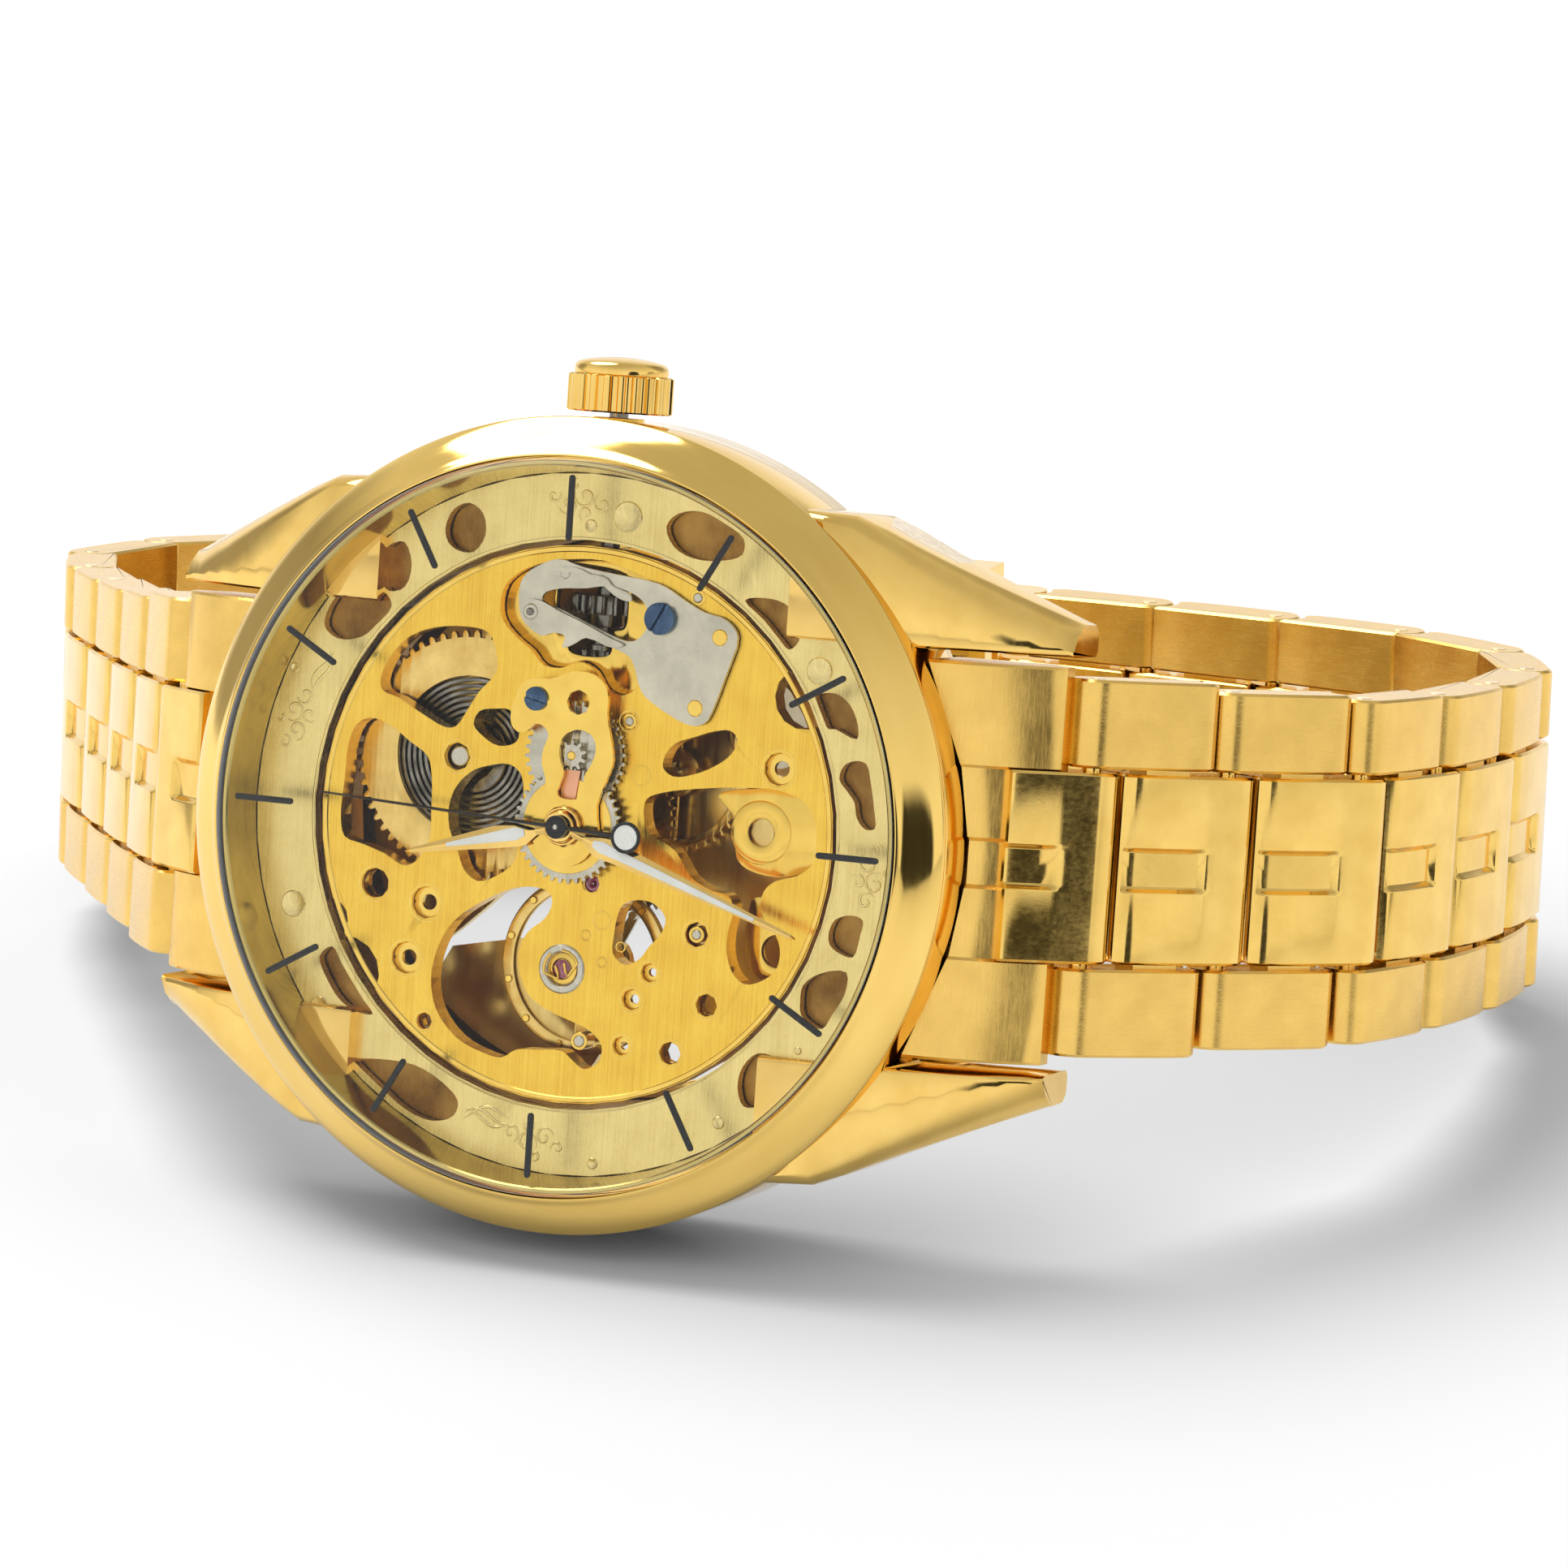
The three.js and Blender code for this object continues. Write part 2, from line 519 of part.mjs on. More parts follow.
function centreWheel() {
  const wheel = gear(teeth.centreWheel, centreWheelPitch, -3.8, -3.55, 0,
    spokeHoles(1.5, 3.5, 4, 0.6));
  const pinion = gear(teeth.centrePinion, centrePinionPitch, -2.1, -1.3, centrePinionPhase);
  const arbor = rod(0.5, -3.7, -1.5, 16);
  return cut(join(wheel, pinion, arbor), rod(0.3, -5, 0, 12));
}

function thirdWheel() {
  const wheel = gear(teeth.thirdWheel, thirdWheelPitch, -4.5, -4.25, 0, spokeHoles(1.3, 3.5, 4, 0.6));
  const pinion = gear(teeth.thirdPinion, thirdSpan - centreWheelPitch, -3.95, -3.4, thirdPinionPhase);
  return join(wheel, pinion, rod(0.26, -5.1, -1.5, 10));
}

function fourthWheel() {
  const wheel = gear(teeth.fourthWheel, fourthWheelPitch, -5.05, -4.8, 0, spokeHoles(1.2, 3.1, 4, 0.5));
  const pinion = gear(teeth.fourthPinion, thirdSpan - thirdWheelPitch, -4.9, -4.15, fourthPinionPhase);
  return join(wheel, pinion, rod(0.16, -5.1, 1.95, 10));
}

function escapeWheel() {
  const shape = new THREE.Shape();
  const step = 2 * Math.PI / teeth.escapeWheel;
  for (let i = 0; i < teeth.escapeWheel; i += 1) {
    for (const [r, part] of [[1.15, 0], [1.55, 0.28], [1.5, 0.4], [1.15, 0.42]]) {
      const a = (i + part) * step;
      shape[i === 0 && part === 0 ? 'moveTo' : 'lineTo'](r * Math.cos(a), r * Math.sin(a));
    }
  }
  shape.closePath();
  shape.holes.push(...spokeHoles(0.5, 0.95, 4, 0.25));
  const pinion = gear(teeth.escapePinion, escapeSpan - fourthWheelPitch, -5.05, -4.2,
    escapePinionPhase);
  return join(slab(shape, -4.3, -4.1, 2), pinion, rod(0.15, -5.1, -4.05, 8));
}

// The pallet's arms point at the escape wheel and its fork at the balance.
function palletFork() {
  const shape = new THREE.Shape([
    [-0.4, 1.0], [0.15, 0.5], [0.3, -0.3], [0.75, -0.95], [0.95, -0.75], [0.55, 0.0], [0.35, 0.5],
    [0.1, 1.15], [-0.5, 1.3],
  ].map(([x, y]) => new THREE.Vector2(x, y)));
  const lever = new THREE.Shape([
    [0.1, -0.2], [-2.1, 0.9], [-2.3, 1.35], [-2.05, 1.35], [-1.9, 1.15], [-1.75, 1.5], [-1.5, 1.3],
    [0.2, 0.25],
  ].map(([x, y]) => new THREE.Vector2(x, y)));
  return join(slab(shape, -4.75, -4.55), slab(lever, -4.75, -4.55), rod(0.22, -5.05, -3.9, 10));
}

function balanceWheel() {
  const rim = disc(0, 0, 4.7);
  rim.holes.push(...spokeHoles(0.7, 4.05, 2, 0.7));
  const staff = rod(0.3, -5.1, -1.4, 12);
  const roller = rod(0.85, -4.35, -4.1, 14);
  return join(slab(rim, -3.35, -2.85, 10), staff, roller);
}

// Flat spiral spring as one thin ribbon.
function hairspring() {
  const turns = 5;
  const steps = 55;
  const outer = [];
  const inner = [];
  for (let i = 0; i <= steps; i += 1) {
    const a = turns * 2 * Math.PI * i / steps;
    const r = 0.75 + 1.5 * i / steps;
    outer.push(new THREE.Vector2((r + 0.05) * Math.cos(a), (r + 0.05) * Math.sin(a)));
    inner.unshift(new THREE.Vector2((r - 0.05) * Math.cos(a), (r - 0.05) * Math.sin(a)));
  }
  return slab(new THREE.Shape([...outer, ...inner]), -2.55, -2.2);
}

placeAt('barrel_drum', barrelDrum(), brass(), barrelAt);
placeAt('mainspring', washer(1.3, 5.0, -3.05, -1.75, 32), darkSteel(), barrelAt);
placeAt('centre_wheel', centreWheel(), brass(), centre);
placeAt('third_wheel', thirdWheel(), brass(), thirdAt);
placeAt('fourth_wheel', fourthWheel(), brass(), centre);
placeAt('escape_wheel', escapeWheel(), steel(), escapeAt);
placeAt('pallet_fork', palletFork(), steel(), palletAt);
placeAt('balance_wheel', balanceWheel(), brass(), balanceAt);
placeAt('hairspring', hairspring(), darkSteel(), balanceAt);

// ---- motion work and winding work ----
const minuteSpan = minuteWheelAt.length();
const cannonPitch = minuteSpan * teeth.cannonPinion / (teeth.cannonPinion + teeth.minuteWheel);
const hourPitch = minuteSpan * teeth.hourWheel / (teeth.hourWheel + teeth.minutePinion);
const minutePhase = meshPhase(centre, minuteWheelAt, teeth.cannonPinion, 0, teeth.minuteWheel);
const hourPhase = meshPhase(minuteWheelAt, centre, teeth.minutePinion, 0, teeth.hourWheel);

function cannonPinion() {
  const pinion = gear(teeth.cannonPinion, cannonPitch, 0.1, 0.4, 0);
  return cut(join(pinion, rod(0.5, -1.15, 1.72, 16)), rod(0.3, -2, 3, 12));
}

function minuteWheel() {
  const wheel = gear(teeth.minuteWheel, minuteSpan - cannonPitch, 0.12, 0.36, minutePhase);
  const pinion = gear(teeth.minutePinion, minuteSpan - hourPitch, 0.3, 0.8, 0);
  return join(wheel, pinion);
}

function hourWheel() {
  const wheel = gear(teeth.hourWheel, hourPitch, 0.5, 0.75, hourPhase, [circlePath(0, 0, 0.62)]);
  return join(wheel, washer(0.62, 0.85, 0.6, 1.3, 16));
}

const ratchetSpan = crownWheelAt.distanceTo(barrelAt);
const ratchetPitch = ratchetSpan * teeth.ratchet / (teeth.ratchet + teeth.crownWheel);
const crownWheelPhase = meshPhase(barrelAt, crownWheelAt, teeth.ratchet, 0, teeth.crownWheel);

function ratchetWheel() {
  return join(gear(teeth.ratchet, ratchetPitch, -4.65, -4.4, 0), rod(0.7, -4.5, -1.3, 16),
    rod(0.9, -5.0, -4.5, 16));
}

// Wheels on the stem turn about x, so they are made about z and laid over.
function alongStem(geometry) {
  return geometry.rotateY(Math.PI / 2);
}

function windingPinion() {
  const body = join(gear(18, 1.7, 10.85, 11.85, 0), rod(1.0, 10.2, 11, 16));
  return alongStem(cut(body, rod(0.62, 9, 13, 12)));
}

function clutch() {
  const body = join(gear(10, 1.1, 8.3, 9.0, 0), rod(0.85, 8.9, 9.95, 16));
  return alongStem(cut(body, rod(0.62, 8, 13, 12)));
}

placeAt('cannon_pinion', cannonPinion(), polishedGold(), centre);
placeAt('minute_wheel', minuteWheel(), steel(), minuteWheelAt);
placeAt('hour_wheel', hourWheel(), steel(), centre);
placeAt('ratchet_wheel', ratchetWheel(), steel(), barrelAt);
placeAt('crown_wheel', join(gear(teeth.crownWheel, ratchetSpan - ratchetPitch, -4.65, -4.4,
  crownWheelPhase), rod(0.8, -5.0, -4.5, 16)), steel(), crownWheelAt);
place('winding_pinion', windingPinion(), darkSteel(), 0, 0, stemZ);
place('sliding_clutch', clutch(), darkSteel(), 0, 0, stemZ);
place('stem', alongStem(rod(0.5, 8.4, 21.6, 14)), darkSteel(), 0, 0, stemZ);
place('crown_tube', alongStem(washer(0.75, 1.35, 18.9, 21.0, 20)), polishedGold(), 0, 0, stemZ);

function crown() {
  const flutes = 22;
  const shape = new THREE.Shape();
  for (let i = 0; i < flutes; i += 1) {
    for (const [r, part] of [[2.5, -0.42], [2.75, -0.28], [2.75, 0.28], [2.5, 0.42]]) {
      const a = (i + part) * 2 * Math.PI / flutes;
      shape[i === 0 && part === -0.42 ? 'moveTo' : 'lineTo'](r * Math.cos(a), r * Math.sin(a));
    }
  }
  shape.closePath();
  const cap = turned([[0, 23.0], [2.3, 23.0], [2.5, 23.5], [2.3, 23.9], [0, 24.15]], 16);
  const body = join(slab(shape, 21.25, 23.2), cap);
  return alongStem(cut(body, rod(1.6, 20, 21.6, 20), rod(0.52, 20, 21.8, 14)));
}

place('crown', crown(), polishedGold(), 0, 0, stemZ);

// ---- hands ----
function lanceHand(length, tail, width, hub, low, high) {
  const shape = new THREE.Shape([
    [-width * 0.35, -tail], [width * 0.35, -tail], [width, 2.4], [width * 0.55, 3.2], [0.06, length],
    [-0.06, length], [-width * 0.55, 3.2], [-width, 2.4],
  ].map(([x, y]) => new THREE.Vector2(x, y)));
  const blade = slab(shape, low, high);
  return cut(join(blade, rod(hub, low, high, 24)), rod(0.52, low - 1, high + 1, 16));
}

function secondHand() {
  const needle = new THREE.Shape([
    [-0.14, -3.4], [0.14, -3.4], [0.07, 13.6], [-0.07, 13.6],
  ].map(([x, y]) => new THREE.Vector2(x, y)));
  return join(slab(needle, 2.05, 2.2), rod(0.6, 1.98, 2.3, 20),
    rod(0.82, 2.05, 2.2, 24).translate(0, -3.9, 0));
}

function placeHand(name, geometry, angle, material) {
  const hand = place(name, geometry, material);
  hand.rotation.z = -THREE.MathUtils.degToRad(angle);
}

placeHand('hour_hand', cut(lanceHand(9.0, 0.5, 0.62, 1.0, 1.35, 1.5), rod(0.86, 1, 2, 16)),
  handAngle.hour, polishedGold());
placeHand('minute_hand', lanceHand(14.1, 0.5, 0.55, 0.8, 1.7, 1.85), handAngle.minute, polishedGold());
placeHand('second_hand', secondHand(), handAngle.second, darkSteel());

// ---- bracelet ----
// Section of an outer row piece: nose round its own hinge, hollow end round the next one.
function rowSection(noseAtStart) {
  const nose = linkHalfThickness;
  const hollow = linkRelief;
  const lift = Math.asin(nose / hollow);
  const shape = new THREE.Shape();
  shape.absarc(0, 0, nose, Math.PI / 2, 3 * Math.PI / 2, false);
  shape.lineTo(linkPitch - hollow * Math.cos(lift), -nose);
  shape.absarc(linkPitch, 0, hollow, Math.PI + lift, Math.PI - lift, true);
  shape.closePath();
  if (noseAtStart) return shape;
  const points = shape.getPoints(2).slice(0, -1);
  return new THREE.Shape(points.map((p) => new THREE.Vector2(linkPitch - p.x, p.y)).reverse());
}

function rowPiece(noseAtStart, low, high) {
  return slab(rowSection(noseAtStart), low, high, 2);
}

function linkBody(halfWidth) {
  const tie = new THREE.BoxGeometry(2.6, 1.7, 2 * outerInnerEdge + 2).translate(linkPitch / 2, 0, 0);
  return join(
    rowPiece(false, -centreHalfWidth, centreHalfWidth),
    rowPiece(true, outerInnerEdge, halfWidth),
    rowPiece(true, -halfWidth, -outerInnerEdge),
    tie,
  );
}

// Frame of one link: u along the bracelet, n out of the loop, w across it.
function linkFrame(side, fallDegrees, setDegrees) {
  const fall = THREE.MathUtils.degToRad(fallDegrees);
  const tilt = new THREE.Matrix4().makeRotationY(-THREE.MathUtils.degToRad(setDegrees));
  const u = new THREE.Vector3(0, side * Math.cos(fall), -Math.sin(fall)).applyMatrix4(tilt);
  const n = new THREE.Vector3(0, side * Math.sin(fall), Math.cos(fall)).applyMatrix4(tilt);
  return { u, n, w: new THREE.Vector3().crossVectors(u, n) };
}

function chainFrames(side, bends) {
  const at = new THREE.Vector3(0, side * firstHingeY, firstHingeZ);
  return bends.fall.map((fall, i) => {
    const frame = { at: at.clone(), ...linkFrame(side, fall, bends.set[i]) };
    at.addScaledVector(frame.u, linkPitch);
    return { ...frame, end: at.clone() };
  });
}

function placeFramed(name, geometry, material, { at, u, n, w }) {
  const mesh = place(name, geometry, material, at.x, at.y, at.z);
  mesh.quaternion.setFromRotationMatrix(new THREE.Matrix4().makeBasis(u, n, w));
}

const linkShapes = taper.map(linkBody);
const linkShape = (i) => linkShapes[Math.min(i, taper.length - 1)];
const sixChain = chainFrames(-1, sixSide);
const twelveChain = chainFrames(1, twelveSide);
sixChain.forEach((frame, i) => placeFramed(`six_link_${i + 1}`, linkShape(i), satinGold(), frame));
twelveChain.forEach((frame, i) => {
  placeFramed(`twelve_link_${i + 1}`, linkShape(i), satinGold(), frame);
});

// End link between the lugs: shoulders that stop short of the first hinge and a centre tongue.
function endLink(side) {
  const profile = new THREE.Shape();
  profile.moveTo(19, -1.0);
  profile.quadraticCurveTo(23, -2.2, firstHingeY - 1.2, firstHingeZ + 2.35);
  profile.lineTo(firstHingeY - 2.6, firstHingeZ - 0.35);
  profile.lineTo(19, -5.4);
  profile.closePath();
  const shoulders = slab(profile, -outerOuterEdge, outerOuterEdge, 6);
  const tongue = new THREE.Shape();
  const first = (side < 0 ? sixSide : twelveSide).fall[0];
  const fall = -THREE.MathUtils.degToRad(first);
  tongue.moveTo(22, -2.0);
  tongue.absarc(firstHingeY, firstHingeZ, linkHalfThickness, fall + Math.PI / 2, fall - Math.PI / 2,
    true);
  tongue.lineTo(22, -5.2);
  tongue.closePath();
  const relief = slab(disc(firstHingeY, firstHingeZ, linkRelief), -12, 12, 12);
  const guard = new THREE.BoxGeometry(30, 30, 2 * centreHalfWidth).translate(firstHingeY, 0, 0);
  const trimmed = toSolid(shoulders).subtract(toSolid(relief));
  const body = toGeometry(trimmed.add(toSolid(slab(tongue, -centreHalfWidth, centreHalfWidth, 6))
    .intersect(toSolid(guard))));
  const basis = new THREE.Matrix4().makeBasis(
    new THREE.Vector3(0, side, 0), new THREE.Vector3(0, 0, 1), new THREE.Vector3(side, 0, 0),
  );
  return cut(body.applyMatrix4(basis), rod(caseRadius + 0.15, -12, 6, 48));
}

place('six_end_link', endLink(-1), satinGold());
place('twelve_end_link', endLink(1), satinGold());

// ---- clasp ----
// Folding clasp: a cover channel from the last six o'clock link towards the twelve o'clock side,
// with two blades folded inside it.
const claspStart = sixChain.at(-1).end;
const claspEnd = twelveChain.at(-1).end;
const claspAxis = new THREE.Vector3().subVectors(claspEnd, claspStart);
const claspLength = claspAxis.length();

function claspFrame() {
  const u = claspAxis.clone().normalize();
  const across = sixChain.at(-1).w;
  const n = new THREE.Vector3().crossVectors(across, u).normalize();
  return { u, n, w: new THREE.Vector3().crossVectors(u, n) };
}

function claspCover() {
  const end = claspLength - 2.6;
  const outline = new THREE.Shape();
  outline.moveTo(1.9, -1.5);
  outline.lineTo(end, -1.5);
  outline.lineTo(end, 1.9);
  outline.quadraticCurveTo(claspLength / 2, 2.7, 1.9, 1.9);
  outline.closePath();
  const hollow = new THREE.BoxGeometry(60, 6, 2 * claspHalfWidth - 2).translate(claspLength / 2, -1.9, 0);
  const shell = cut(slab(outline, -claspHalfWidth, claspHalfWidth, 8), hollow);
  const web = new THREE.BoxGeometry(1.0, 2.6, 2 * claspHalfWidth - 1.6).translate(2.6, 0.5, 0);
  const ears = [-1, 1].flatMap((side) => {
    const middle = side * (outerInnerEdge + taper.at(-1)) / 2;
    const width = taper.at(-1) - outerInnerEdge;
    const knuckle = slab(disc(0, 0, linkHalfThickness), -width / 2, width / 2);
    const arm = new THREE.BoxGeometry(3, 1.8, width).translate(1.5, 0.5, 0);
    return [knuckle.translate(0, 0, middle), arm.translate(0, 0, middle)];
  });
  return join(shell, web, ...ears);
}

function blade(length, height) {
  const plan = new THREE.BoxGeometry(length, 0.7, 8).translate(length / 2, 0, 0);
  const near = slab(disc(0, 0, height), -4, 4, 6);
  return join(plan, near);
}

const cover = { at: claspStart, ...claspFrame() };
placeFramed('clasp_cover', claspCover(), polishedGold(), cover);
const outerBlade = {
  at: claspEnd.clone().addScaledVector(cover.u, -4.2).addScaledVector(cover.n, 0.25),
  u: cover.u.clone().negate(), n: cover.n.clone().negate(), w: cover.w,
};
placeFramed('clasp_outer_blade', blade(30, 0.55), steel(), outerBlade);
const innerBlade = {
  at: outerBlade.at.clone().addScaledVector(outerBlade.u, 30.2).addScaledVector(outerBlade.n, 1.2),
  u: cover.u, n: cover.n, w: cover.w,
};
placeFramed('clasp_inner_blade', blade(28.5, 0.5), steel(), innerBlade);

// ---- standing up ----
// Three o'clock up, twelve o'clock to the left, dial to the front, leaning back on the bracelet.
watch.quaternion.setFromRotationMatrix(new THREE.Matrix4().makeRotationX(-lean).multiply(
  new THREE.Matrix4().makeBasis(
    new THREE.Vector3(0, 0, 1), new THREE.Vector3(-1, 0, 0), new THREE.Vector3(0, -1, 0),
  ),
));
const part = new THREE.Group();
part.add(watch);
part.updateMatrixWorld(true);
const bounds = new THREE.Box3().setFromObject(part, true);
watch.position.set(
  -(bounds.min.x + bounds.max.x) / 2, -(bounds.min.y + bounds.max.y) / 2, -bounds.min.z,
);

export default part;
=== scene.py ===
"""Looks of the skeleton wristwatch: finer shells, links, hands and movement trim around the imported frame.

Lengths are millimetres in the watch's own frame (x to three o'clock, y to twelve o'clock, z out of
the dial) unless a name says otherwise. WATCH turns them into metres in the row frame.
"""
import json
import math

import bmesh
import bpy
from mathutils import Matrix, Vector


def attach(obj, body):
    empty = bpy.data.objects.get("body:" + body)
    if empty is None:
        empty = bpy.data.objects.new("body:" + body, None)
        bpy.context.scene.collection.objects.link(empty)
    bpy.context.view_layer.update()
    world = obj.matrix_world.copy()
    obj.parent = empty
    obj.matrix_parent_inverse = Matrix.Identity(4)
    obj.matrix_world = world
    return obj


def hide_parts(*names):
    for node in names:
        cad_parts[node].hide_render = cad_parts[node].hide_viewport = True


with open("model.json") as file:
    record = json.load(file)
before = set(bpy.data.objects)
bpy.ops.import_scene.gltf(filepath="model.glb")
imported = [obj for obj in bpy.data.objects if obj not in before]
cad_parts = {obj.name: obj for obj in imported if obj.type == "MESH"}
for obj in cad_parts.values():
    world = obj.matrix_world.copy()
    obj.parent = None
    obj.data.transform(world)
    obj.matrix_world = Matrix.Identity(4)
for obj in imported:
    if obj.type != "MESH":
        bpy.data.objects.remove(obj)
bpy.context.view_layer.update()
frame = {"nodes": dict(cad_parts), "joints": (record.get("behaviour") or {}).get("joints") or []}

MM = 0.001
JOINTS = {joint["name"]: joint for joint in frame["joints"]}


# ---- frames ----
def frame_matrix(origin, x_axis, z_axis):
    """Matrix from millimetres in a local frame to metres in the row frame."""
    x = Vector(x_axis).normalized()
    z = Vector(z_axis).normalized()
    turn = Matrix((x, z.cross(x), z)).transposed().to_4x4()
    return Matrix.Translation(Vector(origin)) @ turn @ Matrix.Scale(MM, 4)


WATCH = frame_matrix(
    JOINTS["centre_spin"]["pos_m"], JOINTS["crown_spin"]["axis"], JOINTS["centre_spin"]["axis"]
)
FLAT = Matrix.Identity(4)


def hand_place(degrees):
    """Local +y of a hand points from the centre at its clock angle, with twelve o'clock along y."""
    return Matrix.Rotation(-math.radians(degrees), 4, "Z")


def clock(radius, degrees):
    """A point at a radius and an angle clockwise from twelve."""
    a = math.radians(degrees)
    return radius * math.sin(a), radius * math.cos(a)


def joint_place(name):
    """Place of a joint in the watch frame, to a hundredth of a millimetre."""
    place = WATCH.inverted() @ Vector(JOINTS[name]["pos_m"])
    return tuple(round(value, 2) + 0.0 for value in place)


# ---- materials ----
def node(tree, kind, **values):
    made = tree.nodes.new(kind)
    for key, value in values.items():
        setattr(made, key, value)
    return made


def math_node(tree, operation, a, b):
    made = node(tree, "ShaderNodeMath", operation=operation)
    for index, value in enumerate((a, b)):
        if isinstance(value, (int, float)):
            made.inputs[index].default_value = value
        else:
            tree.links.new(value, made.inputs[index])
    return made.outputs[0]


def grain_coordinates(tree, scale, from_attribute):
    """Coordinates stretched along the grain: the piece's own attribute, or the watch's axes."""
    joined = node(tree, "ShaderNodeCombineXYZ")
    if from_attribute:
        source = node(tree, "ShaderNodeAttribute", attribute_name="grain").outputs["Vector"]
        parts = node(tree, "ShaderNodeSeparateXYZ")
        tree.links.new(source, parts.inputs[0])
        values = parts.outputs
    else:
        place = node(tree, "ShaderNodeTexCoord").outputs["Object"]
        values = []
        for axis in range(3):
            dot = node(tree, "ShaderNodeVectorMath", operation="DOT_PRODUCT")
            dot.inputs[1].default_value = WATCH.col[axis].xyz.normalized() / MM
            tree.links.new(place, dot.inputs[0])
            values.append(dot.outputs["Value"])
    for axis in range(3):
        tree.links.new(math_node(tree, "MULTIPLY", values[axis], scale[axis]), joined.inputs[axis])
    return joined.outputs[0]


def noise(tree, vector, scale, detail=3.0, roughness=0.55):
    made = node(tree, "ShaderNodeTexNoise")
    made.inputs["Scale"].default_value = scale
    made.inputs["Detail"].default_value = detail
    made.inputs["Roughness"].default_value = roughness
    tree.links.new(vector, made.inputs["Vector"])
    return made.outputs["Fac"]


def remap(tree, value, low, high, start=0.3, end=0.7):
    made = node(tree, "ShaderNodeMapRange")
    tree.links.new(value, made.inputs["Value"])
    for key, number in (("From Min", start), ("From Max", end), ("To Min", low), ("To Max", high)):
        made.inputs[key].default_value = number
    return made.outputs[0]


def blend_colors(tree, factor, a, b):
    made = node(tree, "ShaderNodeMix", data_type="RGBA")
    tree.links.new(factor, made.inputs[0])
    made.inputs[6].default_value = (*a, 1)
    made.inputs[7].default_value = (*b, 1)
    return made.outputs[2]


def surface(
    name, dark, light, roughness, spread=0.05, metallic=1.0, grain=(0.25, 9.0, 9.0), bump=0.06,
    streaks=0.0, mottle=1.4, attribute=True, coat=0.0, specks=0.0,
):
    """Metal or lacquer with a grain: colour, roughness and relief all vary along it."""
    material = bpy.data.materials.new(name)
    material.use_nodes = True
    tree = material.node_tree
    shader = tree.nodes["Principled BSDF"]
    shader.inputs["Metallic"].default_value = metallic
    shader.inputs["Coat Weight"].default_value = coat
    shader.inputs["Coat Roughness"].default_value = 0.05
    fine = noise(tree, grain_coordinates(tree, grain, attribute), 1.0, 4.0, 0.7)
    broad = noise(tree, grain_coordinates(tree, (0.35, 0.35, 0.35), attribute), mottle, 3.0)
    tone = math_node(tree, "MULTIPLY", remap(tree, broad, 0.0, 1.0), 1.0 - streaks)
    if streaks:
        line = remap(tree, fine, 0.0, streaks, 0.36, 0.6)
        tone = math_node(tree, "ADD", tone, line)
    tree.links.new(blend_colors(tree, tone, dark, light), shader.inputs["Base Color"])
    rough = remap(tree, fine, roughness - spread, roughness + spread)
    rough = math_node(tree, "ADD", rough, remap(tree, broad, -0.4 * spread, 0.4 * spread))
    tree.links.new(rough, shader.inputs["Roughness"])
    relief = fine
    if specks:
        blast = noise(tree, grain_coordinates(tree, (9.0, 9.0, 9.0), attribute), 1.0, 2.0)
        relief = math_node(tree, "ADD", fine, math_node(tree, "MULTIPLY", blast, specks))
    made = node(tree, "ShaderNodeBump")
    made.inputs["Strength"].default_value = bump
    made.inputs["Distance"].default_value = 0.00002
    tree.links.new(relief, made.inputs["Height"])
    tree.links.new(made.outputs["Normal"], shader.inputs["Normal"])
    return material


def crystal_glass(name, clear, rim):
    """Clear sapphire: see-through face on, brighter where it is seen along its edge, where its real
    reflection and a whitish colour as painted reflection both grow.
    """
    material = bpy.data.materials.new(name)
    material.use_nodes = True
    tree = material.node_tree
    shader = tree.nodes["Principled BSDF"]
    shader.inputs["Metallic"].default_value = 0.0
    shader.inputs["IOR"].default_value = 1.77
    shader.inputs["Specular IOR Level"].default_value = 0.9
    smear = noise(tree, grain_coordinates(tree, (0.3, 0.3, 0.3), True), 1.0, 3.0)
    tree.links.new(
        blend_colors(tree, smear, (0.93, 0.95, 0.92), (0.99, 0.99, 0.96)), shader.inputs["Base Color"]
    )
    tree.links.new(remap(tree, smear, 0.01, 0.05), shader.inputs["Roughness"])
    facing = node(tree, "ShaderNodeLayerWeight")
    facing.inputs["Blend"].default_value = 0.35
    # Opacity grows at grazing view, so the whitish base colour shows there as a painted reflection.
    tree.links.new(remap(tree, facing.outputs["Facing"], clear, rim, 0.05, 0.95), shader.inputs["Alpha"])
    return material


def ruby_stone():
    material = surface(
        "ruby_stone", (0.22, 0.005, 0.03), (0.55, 0.03, 0.12), 0.08, 0.03, metallic=0.0,
        grain=(2, 2, 2), bump=0.02, coat=1.0,
    )
    shader = material.node_tree.nodes["Principled BSDF"]
    shader.inputs["Transmission Weight"].default_value = 0.25
    shader.inputs["IOR"].default_value = 1.76
    return material


GOLD = surface(
    "polished_gold", (0.9, 0.58, 0.15), (0.98, 0.67, 0.2), 0.08, 0.035, grain=(0.6, 2.2, 2.2), bump=0.015
)
BEZEL_GOLD = surface(
    "bezel_gold", (0.92, 0.61, 0.16), (0.98, 0.68, 0.2), 0.08, 0.02, grain=(0.15, 3.0, 3.0), bump=0.012
)
# Rehaut gold darkened as painted shade, for the flange that sits in shade under the bezel lip.
REHAUT_SHADED_GOLD = surface(
    "rehaut_gold", (0.5, 0.38, 0.1), (0.72, 0.56, 0.18), 0.16, 0.04, grain=(0.2, 2.0, 2.0), bump=0.02
)
CENTRE_GOLD = surface(
    "centre_row_gold", (0.86, 0.56, 0.14), (0.98, 0.67, 0.19), 0.13, 0.04, grain=(5.0, 1.0, 5.0),
    bump=0.05, specks=0.5,
)
SATIN_GOLD = surface(
    "satin_gold", (0.84, 0.54, 0.14), (0.97, 0.64, 0.17), 0.25, 0.06, grain=(0.8, 10.0, 10.0),
    bump=0.12, specks=0.8,
)
